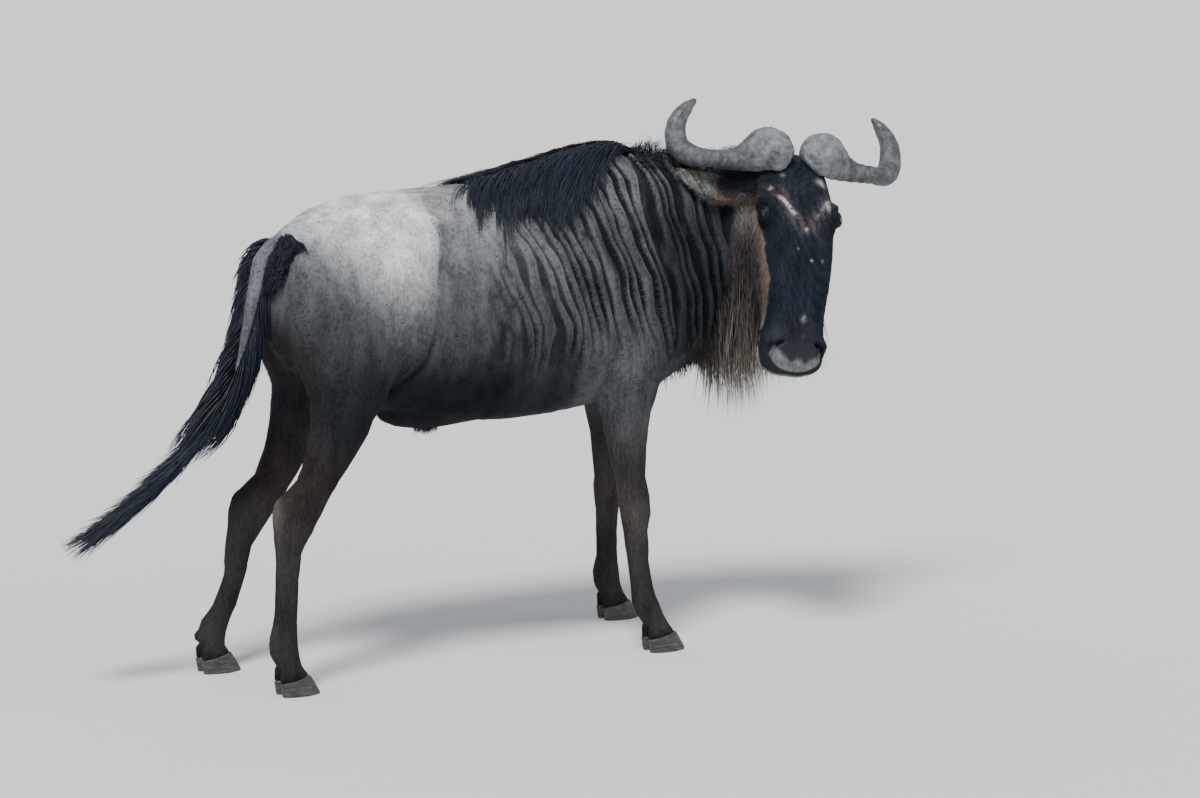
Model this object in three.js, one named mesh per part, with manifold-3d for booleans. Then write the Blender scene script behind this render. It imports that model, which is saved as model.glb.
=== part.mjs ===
// A wildebeest bull, life size, standing square with its head turned to its own right.
// Millimetres, +Z up. While it is built, +X runs from rump to chest, +Y to the animal's left,
// and the origin is on the ground midway between the four feet.
import * as THREE from "three";
import { mergeVertices } from "three/addons/utils/BufferGeometryUtils.js";
import Module from "manifold-3d";

const wasm = await Module();
wasm.setup();

// Driving sizes
const gap = 0.3; // between nodes that touch
const trunkSides = 24;
const trunkRings = 20;
const neckRings = 14;
const legSides = 10;
const legRings = 18;
const headSides = 22;
const headRings = 24;
const hornSides = 10;
const hornRings = 20;
const clawSides = 10;
const clawRings = 5;
const lockRings = 4;

// Each row of the trunk is a place along X with the heights of back, belly and widest line,
// the half width there, and how square the section is above and below the widest line.
const trunk = [
  { at: -524, top: 1050, low: 930, wide: 990, half: 28, above: 2, below: 2 },
  { at: -510, top: 1102, low: 862, wide: 990, half: 82, above: 2, below: 2 },
  { at: -474, top: 1144, low: 800, wide: 985, half: 128, above: 2, below: 2 },
  { at: -406, top: 1186, low: 744, wide: 980, half: 172, above: 2.1, below: 2 },
  { at: -320, top: 1214, low: 702, wide: 955, half: 196, above: 2.2, below: 2.1 },
  { at: -170, top: 1226, low: 655, wide: 920, half: 218, above: 2.1, below: 2.2 },
  { at: 0, top: 1229, low: 624, wide: 895, half: 232, above: 2, below: 2.2 },
  { at: 130, top: 1240, low: 616, wide: 885, half: 232, above: 1.9, below: 2.2 },
  { at: 250, top: 1264, low: 622, wide: 880, half: 222, above: 1.8, below: 2.1 },
  { at: 350, top: 1288, low: 630, wide: 880, half: 208, above: 1.7, below: 2 },
  { at: 430, top: 1298, low: 638, wide: 885, half: 194, above: 1.7, below: 1.9 },
  { at: 520, top: 1288, low: 648, wide: 900, half: 174, above: 1.8, below: 1.9 },
  { at: 600, top: 1258, low: 672, wide: 925, half: 144, above: 1.9, below: 1.9 },
  { at: 655, top: 1205, low: 716, wide: 950, half: 104, above: 2, below: 2 },
  { at: 680, top: 1120, low: 790, wide: 955, half: 55, above: 2, below: 2 },
];

// The neck is a row of upright sections on a path that turns to the animal's right.
const neck = [
  { x: 430, y: 0, yaw: 0, top: 1270, low: 700, wide: 940, half: 140, above: 1.8, below: 2 },
  { x: 540, y: 0, yaw: -4, top: 1284, low: 666, wide: 950, half: 156, above: 1.8, below: 2 },
  { x: 640, y: -10, yaw: -14, top: 1276, low: 694, wide: 985, half: 140, above: 1.8, below: 1.9 },
  { x: 730, y: -38, yaw: -28, top: 1274, low: 762, wide: 1020, half: 122, above: 1.8, below: 1.8 },
  { x: 806, y: -82, yaw: -46, top: 1290, low: 850, wide: 1070, half: 108, above: 1.9, below: 1.8 },
  { x: 856, y: -136, yaw: -70, top: 1280, low: 950, wide: 1120, half: 94, above: 2, below: 2 },
  { x: 868, y: -182, yaw: -90, top: 1240, low: 1030, wide: 1140, half: 66, above: 2, below: 2 },
];

// The head has its own frame: h runs from the poll to the lips, s to its left, d out of the face.
const headPlace = new THREE.Vector3(902, -150, 1267);
const headYaw = -115;
const headPitch = 61;
const headRoll = -16.5;
const head = [
  { at: -22, half: 56, top: -40, low: -100, above: 2, below: 2, side: 0 },
  { at: -6, half: 84, top: -4, low: -126, above: 2.2, below: 2, side: 0 },
  { at: 30, half: 102, top: 40, low: -160, above: 2.6, below: 2, side: 0 },
  { at: 95, half: 108, top: 76, low: -180, above: 2.7, below: 2, side: 0 },
  { at: 165, half: 108, top: 87, low: -178, above: 2.8, below: 2, side: 2 },
  { at: 235, half: 103, top: 84, low: -160, above: 3, below: 2.1, side: 3 },
  { at: 300, half: 96, top: 76, low: -138, above: 3.2, below: 2.2, side: 3 },
  { at: 370, half: 88, top: 66, low: -116, above: 3.2, below: 2.2, side: 0 },
  { at: 435, half: 80, top: 56, low: -100, above: 2.9, below: 2.3, side: -4 },
  { at: 490, half: 80, top: 47, low: -92, above: 2.7, below: 2.5, side: -8 },
  { at: 535, half: 86, top: 34, low: -90, above: 2.6, below: 2.6, side: -11 },
  { at: 568, half: 81, top: 12, low: -84, above: 2.4, below: 2.5, side: -12 },
  { at: 586, half: 62, top: -8, low: -70, above: 2.2, below: 2.3, side: -12 },
  { at: 594, half: 30, top: -28, low: -52, above: 2, below: 2, side: -12 },
];

// Legs: level sections, each with its height, middle, half depth along X, half width, and
// distance from the midline. The right pair is the measured one, and the left pair follows it.
const frontLeg = [
  { z: 1200, x: 436, deep: 30, wide: 12, out: 72 },
  { z: 1130, x: 438, deep: 62, wide: 26, out: 112 },
  { z: 1050, x: 442, deep: 92, wide: 38, out: 140 },
  { z: 960, x: 446, deep: 114, wide: 48, out: 151 },
  { z: 870, x: 450, deep: 124, wide: 56, out: 149 },
  { z: 790, x: 444, deep: 118, wide: 60, out: 142 },
  { z: 715, x: 432, deep: 98, wide: 58, out: 137 },
  { z: 650, x: 424, deep: 78, wide: 51, out: 136 },
  { z: 575, x: 422, deep: 60, wide: 43, out: 140 },
  { z: 500, x: 425, deep: 47, wide: 37, out: 147 },
  { z: 430, x: 432, deep: 41, wide: 34, out: 153 },
  { z: 388, x: 438, deep: 44, wide: 36, out: 158 },
  { z: 348, x: 437, deep: 40, wide: 33, out: 163 },
  { z: 300, x: 436, deep: 32, wide: 25, out: 168 },
  { z: 220, x: 440, deep: 29, wide: 23, out: 177 },
  { z: 165, x: 447, deep: 31, wide: 26, out: 182 },
  { z: 128, x: 454, deep: 37, wide: 32, out: 186 },
  { z: 96, x: 468, deep: 35, wide: 31, out: 188 },
  { z: 74, x: 483, deep: 33, wide: 30, out: 189 },
  { z: 56, x: 494, deep: 28, wide: 26, out: 189 },
];
const hindLeg = [
  { z: 1140, x: -420, deep: 30, wide: 14, out: 70 },
  { z: 1080, x: -412, deep: 84, wide: 48, out: 98 },
  { z: 1000, x: -397, deep: 118, wide: 80, out: 109 },
  { z: 920, x: -377, deep: 139, wide: 92, out: 113 },
  { z: 850, x: -370, deep: 144, wide: 92, out: 118 },
  { z: 775, x: -361, deep: 115, wide: 82, out: 126 },
  { z: 700, x: -378, deep: 87, wide: 68, out: 135 },
  { z: 640, x: -401, deep: 77, wide: 56, out: 142 },
  { z: 580, x: -430, deep: 64, wide: 45, out: 146 },
  { z: 530, x: -462, deep: 60, wide: 37, out: 148 },
  { z: 490, x: -504, deep: 76, wide: 34, out: 150 },
  { z: 462, x: -517, deep: 73, wide: 35, out: 151 },
  { z: 420, x: -529, deep: 56, wide: 35, out: 153 },
  { z: 375, x: -543, deep: 39, wide: 29, out: 154 },
  { z: 320, x: -549, deep: 31, wide: 24, out: 155 },
  { z: 230, x: -554, deep: 30, wide: 23, out: 157 },
  { z: 170, x: -560, deep: 33, wide: 27, out: 158 },
  { z: 132, x: -566, deep: 39, wide: 32, out: 159 },
  { z: 98, x: -560, deep: 37, wide: 31, out: 159 },
  { z: 74, x: -549, deep: 33, wide: 30, out: 159 },
  { z: 56, x: -540, deep: 28, wide: 26, out: 159 },
];

// Hooves: rings of one claw from the sole up, each with its height, the place of its middle
// ahead of the foot, half length and half width
const claw = [
  { z: 0, x: 14, long: 51, half: 17 },
  { z: 4, x: 14, long: 53, half: 18.5 },
  { z: 24, x: 7, long: 49, half: 18.5 },
  { z: 48, x: -2, long: 43, half: 18 },
  { z: 70, x: -10, long: 33, half: 15 },
];
const clawApart = 20.5;
const clawSplay = 3.5;
const coronet = { z: 44, tilt: -12 };

// Features of the head, in the head's frame
const eye = { h: 192, s: 92, d: 50, r: 21, lid: 5 };
const nostril = { h: 530, s: 66, d: 6, side: -11 };
const mouth = { h: 512, d: -44, depth: 8, open: 3 };
const horn = [
  { h: 20, s: 16, d: 48, r: 18 },
  { h: 17, s: 34, d: 50, r: 50 },
  { h: 16, s: 72, d: 45, r: 65 },
  { h: 22, s: 116, d: 30, r: 46 },
  { h: 40, s: 166, d: 24, r: 27 },
  { h: 42, s: 222, d: 20, r: 22 },
  { h: 32, s: 268, d: -2, r: 27 },
  { h: -10, s: 300, d: -34, r: 29 },
  { h: -70, s: 300, d: -28, r: 24 },
  { h: -112, s: 272, d: -20, r: 16 },
  { h: -134, s: 248, d: -16, r: 5 },
];
// The right ear is held out to the side, and the left one is laid back behind the head.
const ear = { wide: 54, cup: 26, thick: 7, droop: 12 };
const earPlaces = {
  right: { root: [116, -84, 0], tip: [58, -326, -26] },
  left: { root: [66, 84, -24], tip: [58, 148, -232] },
};

// The tail leaves the rump, hangs, and is carried back at its end. The dock is its bare middle
// part, and a flat band of hair lies along the dock's inner side and runs on past its end.
const tailPath = [
  [-486, 0, 1116],
  [-530, 7, 1076],
  [-540, 15, 1026],
  [-549, 22, 975],
  [-560, 28, 922],
  [-574, 34, 856],
  [-594, 39, 784],
  [-628, 44, 714],
  [-682, 50, 640],
  [-768, 54, 545],
  [-872, 60, 468],
  [-985, 66, 400],
];
const tailTwist = 37; // how far its outer side is turned to the animal's right, in degrees
const dockShare = 0.56;
const dockRadii = [24, 25, 24, 21, 17, 12, 6];
const bandHalves = [30, 46, 46, 44, 46, 54, 58, 50, 24];
const bandThick = 9;

// The crest of the neck, seen from above, from behind the hump to the poll
const crestPath = [
  [110, 0],
  [290, 0],
  [430, 0],
  [540, 0],
  [640, -10],
  [730, -38],
  [806, -82],
  [848, -128],
];
const maneHeight = 60;
const coreReach = 0.5; // how far the dense core of each tuft goes towards the tips

// Small helpers
const radians = THREE.MathUtils.degToRad;
const lerp = THREE.MathUtils.lerp;
const clamp = THREE.MathUtils.clamp;
const smooth = THREE.MathUtils.smoothstep;
const vec = (x, y, z) => new THREE.Vector3(x, y, z);

// A row read between its stations with a Catmull-Rom curve in every named size.
function between(rows, share) {
  const place = share * (rows.length - 1);
  const i = Math.min(Math.floor(place), rows.length - 2);
  const t = place - i;
  const pick = (k) => rows[clamp(k, 0, rows.length - 1)];
  const out = {};
  for (const key of Object.keys(rows[0])) {
    const [a, b, c, d] = [pick(i - 1)[key], pick(i)[key], pick(i + 1)[key], pick(i + 2)[key]];
    const fore = 2 * b + (c - a) * t;
    const bend = (2 * a - 5 * b + 4 * c - d) * t * t;
    out[key] = 0.5 * (fore + bend + (3 * b - a - 3 * c + d) * t * t * t);
  }
  return out;
}

// The offset of a squared oval: n = 2 is an ellipse, more is squarer.
function oval(angle, half, above, below, nAbove, nBelow) {
  const c = Math.cos(angle);
  const s = Math.sin(angle);
  const n = s >= 0 ? nAbove : nBelow;
  const power = 2 / n;
  const across = half * Math.sign(c) * Math.pow(Math.abs(c), power);
  const up = (s >= 0 ? above : below) * Math.sign(s) * Math.pow(Math.abs(s), power);
  return [across, up];
}

// A closed skin over rings of points: ring(share) gives one ring, and the ends are capped.
function skin(rings, ring) {
  const points = [];
  const faces = [];
  let sides = 0;
  for (let i = 0; i <= rings; i++) {
    const loop = ring(i / rings);
    sides = loop.length;
    points.push(...loop);
  }
  for (let i = 0; i < rings; i++) {
    for (let j = 0; j < sides; j++) {
      const k = (j + 1) % sides;
      const [a, b] = [i * sides + j, i * sides + k];
      const [c, d] = [a + sides, b + sides];
      faces.push(a, b, d, a, d, c);
    }
  }
  for (const [start, flip] of [[0, true], [rings * sides, false]]) {
    const middle = points.length;
    const sum = vec(0, 0, 0);
    for (let j = 0; j < sides; j++) {
      sum.add(points[start + j]);
      const [a, b] = [start + j, start + ((j + 1) % sides)];
      faces.push(...(flip ? [b, a, middle] : [a, b, middle]));
    }
    points.push(sum.divideScalar(sides));
  }
  const made = new THREE.BufferGeometry().setFromPoints(points);
  made.setIndex(faces);
  return made;
}

// Solids and geometries
function solidOf(geometry, matrix) {
  const bare = geometry.clone();
  bare.deleteAttribute("normal");
  bare.deleteAttribute("uv");
  if (matrix) bare.applyMatrix4(matrix);
  const merged = mergeVertices(bare, 1e-3);
  const triVerts = new Uint32Array(merged.index.array);
  const vertProperties = new Float32Array(merged.attributes.position.array);
  const make = () => new wasm.Manifold(new wasm.Mesh({ numProp: 3, vertProperties, triVerts }));
  const solid = make();
  if (solid.volume() > 0) return solid;
  for (let i = 0; i < triVerts.length; i += 3) {
    [triVerts[i + 1], triVerts[i + 2]] = [triVerts[i + 2], triVerts[i + 1]];
  }
  return make();
}

function geometryOf(solid) {
  const mesh = solid.getMesh();
  const position = new Float32Array(mesh.numVert * 3);
  for (let i = 0; i < mesh.numVert; i++) {
    position.set(mesh.vertProperties.subarray(i * mesh.numProp, i * mesh.numProp + 3), i * 3);
  }
  const made = new THREE.BufferGeometry();
  made.setAttribute("position", new THREE.BufferAttribute(position, 3));
  made.setIndex(new THREE.BufferAttribute(new Uint32Array(mesh.triVerts), 1));
  made.computeVertexNormals();
  return made;
}

const joined = (solids) => solids.reduce((whole, piece) => whole.add(piece));
const largest = (solid) => solid.decompose().sort((a, b) => b.volume() - a.volume())[0];

// An upright box for cuts, centred at a point and turned about Y by a pitch in degrees.
function block(size, centre, turnY = 0, turnZ = 0) {
  const turn = new THREE.Euler(0, radians(turnY), radians(turnZ), "ZYX");
  const matrix = new THREE.Matrix4().makeRotationFromEuler(turn).setPosition(centre);
  return solidOf(new THREE.BoxGeometry(...size), matrix);
}

// A ball stretched to three radii, with its own place in a frame.
function ball(radii, centre, frame, across = 16, down = 12) {
  const made = new THREE.SphereGeometry(1, across, down);
  made.scale(...radii);
  made.translate(centre.x, centre.y, centre.z);
  return solidOf(made, frame);
}

// A round bar along a curve whose radius is read from a list at even steps.
function bar(points, radii, sides, rings, flat = 1, frame = null) {
  const curve = new THREE.CatmullRomCurve3(points);
  const frames = curve.computeFrenetFrames(rings, false);
  const rows = radii.map((r) => ({ r }));
  const ring = (share) => {
    const k = Math.round(share * rings);
    const centre = curve.getPoint(share);
    const { r } = between(rows, share);
    return Array.from({ length: sides }, (_, j) => {
      const angle = (j / sides) * 2 * Math.PI;
      return centre
        .clone()
        .addScaledVector(frames.normals[k], Math.cos(angle) * r)
        .addScaledVector(frames.binormals[k], Math.sin(angle) * r * flat);
    });
  };
  return solidOf(skin(rings, ring), frame);
}

// Sections of trunk and neck share one outline, half a width to each side of the widest line.
function upright(row, grow) {
  const rise = row.top - row.wide + grow;
  const fall = row.wide - row.low + grow;
  return Array.from({ length: trunkSides }, (_, j) => {
    const angle = (j / trunkSides) * 2 * Math.PI;
    return oval(angle, row.half + grow, rise, fall, row.above, row.below);
  });
}

// Trunk
function trunkSolid(grow = 0) {
  const ring = (share) => {
    const row = between(trunk, share);
    const at = row.at + (share < 0.5 ? -grow : grow);
    return upright(row, grow).map(([y, z]) => vec(at, y, row.wide + z));
  };
  return solidOf(skin(trunkRings, ring));
}

// Neck
function neckSolid(grow = 0) {
  const ring = (share) => {
    const row = between(neck, share);
    const left = vec(-Math.sin(radians(row.yaw)), Math.cos(radians(row.yaw)), 0);
    const centre = (z) => vec(row.x, row.y, row.wide + z);
    return upright(row, grow).map(([y, z]) => centre(z).addScaledVector(left, y));
  };
  return solidOf(skin(neckRings, ring));
}

// Head
const headFrame = new THREE.Matrix4()
  .makeTranslation(headPlace.x, headPlace.y, headPlace.z)
  .multiply(new THREE.Matrix4().makeRotationZ(radians(headYaw)))
  .multiply(new THREE.Matrix4().makeRotationY(radians(headPitch)))
  .multiply(new THREE.Matrix4().makeRotationX(radians(headRoll)));
const inHead = (h, s, d) => vec(h, s, d).applyMatrix4(headFrame);

function headLoft(grow = 0) {
  const ring = (share) => {
    const row = between(head, share);
    const middle = (row.top + row.low) / 2;
    const deep = (row.top - row.low) / 2 + grow;
    const at = row.at + (share < 0.5 ? -grow : grow);
    return Array.from({ length: headSides }, (_, j) => {
      const angle = (j / headSides) * 2 * Math.PI;
      const [s, d] = oval(angle, row.half + grow, deep, deep, row.above, row.below);
      return vec(at, row.side + s, middle + d);
    });
  };
  return solidOf(skin(headRings, ring), headFrame);
}

// The brow, the eyelids and the rims of the nostrils stand out from the skull.
function headSolid(grow = 0) {
  const swell = (radii, h, s, d) =>
    ball(radii.map((r) => r + grow), vec(h, s, d), headFrame, 10, 6);
  const raised = [1, -1].flatMap((side) => [
    swell([44, 23, 36], eye.h - 6, side * (eye.s - 2), eye.d + 2),
    swell(Array(3).fill(eye.r + eye.lid), eye.h, side * eye.s, eye.d),
    swell([30, 18, 22], nostril.h - 6, nostril.side + side * (nostril.s - 2), nostril.d),
  ]);
  return joined([headLoft(grow), ...raised]);
}

// What is cut out of the head: both sockets with the slit between the lids, both nostrils,
// and the line of the mouth.
function headHollows() {
  const cuts = [];
  for (const side of [1, -1]) {
    const socket = vec(eye.h, side * eye.s, eye.d);
    cuts.push(ball(Array(3).fill(eye.r + gap), socket, headFrame, 10, 7));
    const slit = new THREE.SphereGeometry(1, 10, 8).scale(19, 22, 11.5);
    slit.rotateX(side * radians(24)).rotateY(radians(12));
    slit.translate(eye.h + 1, side * (eye.s + 18), eye.d + 9);
    cuts.push(solidOf(slit, headFrame));
    const hole = new THREE.SphereGeometry(1, 10, 6).scale(17, 12, 9);
    hole.rotateZ(side * radians(-24)).rotateX(side * radians(30));
    hole.translate(nostril.h + 4, nostril.side + side * (nostril.s + 9), nostril.d + 10);
    cuts.push(solidOf(hole, headFrame));
  }
  const slab = new THREE.BoxGeometry(200, 240, mouth.open);
  slab.rotateY(radians(-4)).translate(mouth.h, 0, mouth.d);
  cuts.push(solidOf(slab, headFrame).subtract(headLoft(-mouth.depth)));
  return joined(cuts);
}

// Eyes
function eyeSolid(side) {
  return ball(Array(3).fill(eye.r), vec(eye.h, side * eye.s, eye.d), headFrame, 10, 7);
}

// Horns
function hornSolid(side, grow = 0) {
  const points = horn.map(({ h, s, d }) => vec(h, side * s, d));
  return bar(points, horn.map(({ r }) => r + grow), hornSides, hornRings, 1, headFrame);
}

// Ears: a leaf whose section is a crescent. `open` is the way its hollow faces, and `grow`
// adds a margin all round.
function earSolid(word, grow = 0) {
  const [from, to] = [earPlaces[word].root, earPlaces[word].tip].map((p) => vec(...p));
  const along = to.clone().sub(from).normalize();
  const across = vec(1, 0, 0).addScaledVector(along, -along.x).normalize();
  const open = across.clone().cross(along);
  if (open.z < 0) open.negate();
  const ring = (share) => {
    const middle = from.clone().lerp(to, share);
    middle.x += ear.droop * Math.sin(Math.PI * share);
    const spread = smooth(share, 0.02, 0.4);
    const leaf = (0.34 + 0.66 * spread) * Math.pow(1 - Math.pow(share, 2.6), 0.62);
    const half = ear.wide * leaf + 1.2 + grow;
    const deep = ear.cup * (half / ear.wide) + 2 + grow;
    const wall = lerp(deep * 1.7, ear.thick, spread) * (1 - 0.6 * share) + 2 * grow;
    const points = [];
    for (let j = 0; j <= 6; j++) {
      const angle = radians(lerp(-90, 90, j / 6));
      points.push([half * Math.sin(angle), -deep * Math.cos(angle)]);
    }
    for (let j = 1; j <= 5; j++) {
      const angle = radians(lerp(90, -90, j / 6));
      const back = Math.cos(angle);
      points.push([half * 0.9 * Math.sin(angle), (wall - deep) * back + 0.4 * wall * (1 - back)]);
    }
    return points.map(([a, d]) => middle.clone().addScaledVector(across, a).addScaledVector(open, d));
  };
  return solidOf(skin(9, ring), headFrame);
}

// Legs
function legSolid(rows, side, shift, grow = 0) {
  const ring = (share) => {
    const row = between(rows, share);
    const moved = shift(row.z);
    return Array.from({ length: legSides }, (_, j) => {
      const angle = (j / legSides) * 2 * Math.PI;
      const [x, y] = oval(angle, row.deep + grow, row.wide + grow, row.wide + grow, 2.2, 2.2);
      return vec(row.x + x + moved.x, side * row.out + y, row.z + moved.z);
    });
  };
  return solidOf(skin(legRings, ring));
}

const still = () => ({ x: 0, z: 0 });
// The left foreleg stands a step ahead of the right one.
const ahead = (z) => ({ x: 100 * smooth(1150 - z, 0, 600) - 25 * smooth(200 - z, 0, 150), z: 0 });
// The left hind leg stands further back, with its hock a little lower.
const behind = (z) => ({
  x: 20 * smooth(z, 330, 480) * (1 - smooth(z, 700, 900)) - 80 * smooth(300 - z, 0, 300),
  z: -40 * smooth(z, 0, 400) * (1 - smooth(z, 480, 760)),
});

// Feet: two claws side by side, spread a little at the toe
function clawSolid(place, side) {
  const ring = (share) => {
    const row = between(claw, share);
    return Array.from({ length: clawSides }, (_, j) => {
      const angle = (j / clawSides) * 2 * Math.PI;
      const [c, s] = [Math.cos(angle), Math.sin(angle)];
      const narrow = 1 - 0.42 * Math.max(0, c) ** 2;
      const inward = -side * 6 * Math.max(0, c) ** 2;
      const [x, y] = [row.x + row.long * c, row.half * s * narrow + inward];
      return vec(x, y, row.z).applyAxisAngle(vec(0, 0, 1), radians(side * clawSplay));
    });
  };
  const set = new THREE.Matrix4().makeTranslation(place.x, place.y + side * clawApart, 0);
  return solidOf(skin(clawRings, ring), set);
}

// A lower leg carries two small dewclaws behind the pastern.
function dewclaws(x, y) {
  return [1, -1].map((side) => ball([15, 10, 17], vec(x - 34, y + side * 17, 92), null, 7, 5));
}

// Hair: a lock is a flat strip with a low ridge, tapering along its path to a point.
// Its width lies along `flat`.
function lock(path, flat, wide, thick) {
  const curve = new THREE.CatmullRomCurve3(path);
  const ring = (share) => {
    const centre = curve.getPoint(share);
    const along = curve.getTangent(share);
    const across = flat.clone().addScaledVector(along, -flat.dot(along)).normalize();
    const out = along.clone().cross(across);
    const taper = Math.pow(1 - share, 0.7) * (0.8 + 0.5 * share) + 0.05;
    const corner = (turn, reach) => {
      const spot = centre.clone().addScaledVector(across, reach * wide * taper);
      return spot.addScaledVector(out, turn * thick * taper);
    };
    return [corner(-0.5, 1), corner(1, 0.1), corner(-0.5, -1)];
  };
  return solidOf(skin(lockRings, ring));
}

// A repeatable source of chance between -1 and 1.
function dice(seed) {
  let state = seed;
  return () => {
    state = (state * 16807) % 2147483647;
    return (state / 2147483647) * 2 - 1;
  };
}

const root = new THREE.Group();
function node(name, solid, color, roughness = 0.8, metalness = 0) {
  const material = new THREE.MeshStandardMaterial({ color, roughness, metalness });
  const mesh = new THREE.Mesh(geometryOf(solid), material);
  mesh.name = name;
  root.add(mesh);
  return mesh;
}

// The whole body is joined first and parted afterwards.
const limbs = [
  { name: "front_leg_right", rows: frontLeg, side: -1, shift: still },
  { name: "front_leg_left", rows: frontLeg, side: 1, shift: ahead },
  { name: "hind_leg_right", rows: hindLeg, side: -1, shift: still },
  { name: "hind_leg_left", rows: hindLeg, side: 1, shift: behind },
];
const last = (rows) => rows[rows.length - 1];
for (const limb of limbs) {
  const foot = last(limb.rows);
  limb.foot = vec(foot.x + limb.shift(foot.z).x, limb.side * foot.out, 0);
}

const sheath = (grow = 0) =>
  ball([170, 62, 50].map((r) => r + grow), vec(-62, 0, 657), null, 14, 10);

function fleshSolid(grow = 0) {
  const legs = limbs.map(({ rows, side, shift }) => legSolid(rows, side, shift, grow));
  return joined([trunkSolid(grow), neckSolid(grow), headSolid(grow), sheath(grow), ...legs]);
}

// The middle and the size of a leg at a height
function legAt({ rows, side, shift }, z) {
  const shares = Array.from({ length: 201 }, (_, i) => i / 200);
  const heights = shares.map((share) => {
    const row = between(rows, share);
    return Math.abs(row.z + shift(row.z).z - z);
  });
  const row = between(rows, shares[heights.indexOf(Math.min(...heights))]);
  return { x: row.x + shift(row.z).x, y: side * row.out, deep: row.deep, wide: row.wide };
}

// Cuts between the nodes: thin slabs, each no wider than the limb it parts
function legCut(limb, z) {
  const { x, y, deep, wide } = legAt(limb, z);
  return block([2 * deep + 40, 2 * wide + 30, gap], vec(x, y, z));
}

const footCut = ({ foot }) => block([170, 110, gap], vec(foot.x, foot.y, coronet.z), coronet.tilt);
const neckCut = block([gap, 500, 900], vec(650, -10, 1000), 0, -6);
const headCut = block([gap, 420, 640], vec(846, -122, 1120), 0, -58);

const whole = joined([
  fleshSolid(),
  ...limbs.flatMap(({ foot }) => [
    clawSolid(foot, 1),
    clawSolid(foot, -1),
    ...dewclaws(foot.x, foot.y),
  ]),
]);
const grown = fleshSolid(gap);
const cuts = [headHollows(), neckCut, headCut];
for (const limb of limbs) {
  const [thigh, knee] = limb.rows === frontLeg ? [600, 388] : [640, 452];
  cuts.push(legCut(limb, thigh), legCut(limb, knee), footCut(limb));
}
const pieces = whole.subtract(joined(cuts)).decompose();

// Each piece takes the name of the label that stands nearest to its middle.
const labels = [
  { name: "torso", at: vec(60, 0, 930) },
  { name: "neck", at: vec(740, -50, 1000) },
  { name: "head", at: inHead(270, 0, -30) },
];
for (const limb of limbs) {
  const [upper, lower] = limb.rows === frontLeg ? [490, 220] : [545, 240];
  const high = legAt(limb, upper);
  const below = legAt(limb, lower);
  labels.push({ name: `${limb.name}_upper`, at: vec(high.x, high.y, upper) });
  labels.push({ name: `${limb.name}_lower`, at: vec(below.x, below.y, lower) });
  for (const [word, side] of [["outer", limb.side], ["inner", -limb.side]]) {
    const at = vec(limb.foot.x + 10, limb.foot.y + side * clawApart, 22);
    labels.push({ name: `${limb.name.replace("_leg", "_hoof")}_${word}`, at });
  }
}
const named = new Map();
for (const piece of pieces.sort((a, b) => b.volume() - a.volume())) {
  const { min, max } = piece.boundingBox();
  const middle = vec(...min).add(vec(...max)).multiplyScalar(0.5);
  const distance = ({ at }) => at.distanceTo(middle);
  const { name } = labels.reduce((a, b) => (distance(b) < distance(a) ? b : a));
  if (!named.has(name)) named.set(name, piece);
}

// Hair lies on the body: a ray from outside finds the skin and the way it faces.
const body = new THREE.Mesh(geometryOf(whole));
const caster = new THREE.Raycaster();
function landing(from, toward) {
  caster.set(from, toward.clone().sub(from).normalize());
  const [hit] = caster.intersectObject(body);
  return { at: hit.point, out: hit.face.normal.clone() };
}

// A drape is a closed sheet that lies over a row of stations: each gives the points of its
// outer and inner face, from one edge to the other.
function drape(rings, faces) {
  const ring = (share) => {
    const [outer, inner] = faces(share);
    return [...outer, ...inner.reverse()];
  };
  return solidOf(skin(rings, ring));
}

// Mane: a low dense core over the crest, with locks that lie back and down on both sides
const crest = new THREE.CatmullRomCurve3(crestPath.map(([x, y]) => vec(x, y, 1000)));
function crestSkin(share, angle) {
  const axis = crest.getPointAt(clamp(share, 0, 1));
  const along = crest.getTangentAt(clamp(share, 0, 1));
  const right = along.clone().cross(vec(0, 0, 1)).normalize();
  const from = axis.clone().addScaledVector(right, 700 * Math.sin(radians(angle)));
  from.z += 700 * Math.cos(radians(angle));
  return { ...landing(from, axis), along, right };
}

// How far the mane hangs down the near side and the far side of the neck, in degrees
const maneFall = (share, side) => {
  const long = smooth(share, 0, 0.2) * (1 - smooth(share, 0.36, 0.58));
  return side * lerp(7, side > 0 ? 42 : 24, long);
};

function maneCore() {
  const faces = (share) => {
    const at = lerp(0.02, 0.97, share);
    const ends = 0.2 + 0.8 * smooth(share, 0, 0.2) * (1 - 0.75 * smooth(share, 0.4, 0.85));
    const points = [[], []];
    for (let j = 0; j <= 4; j++) {
      const u = lerp(-1, 1, j / 4);
      const angle = coreReach * Math.abs(u) * maneFall(at, Math.sign(u) || 1);
      const { at: spot, out } = crestSkin(at, angle);
      const height = maneHeight * ends * (1 - 0.7 * u * u);
      points[0].push(spot.clone().addScaledVector(out, height));
      points[1].push(spot.clone().addScaledVector(out, -6));
    }
    return points;
  };
  return drape(13, faces);
}

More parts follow.
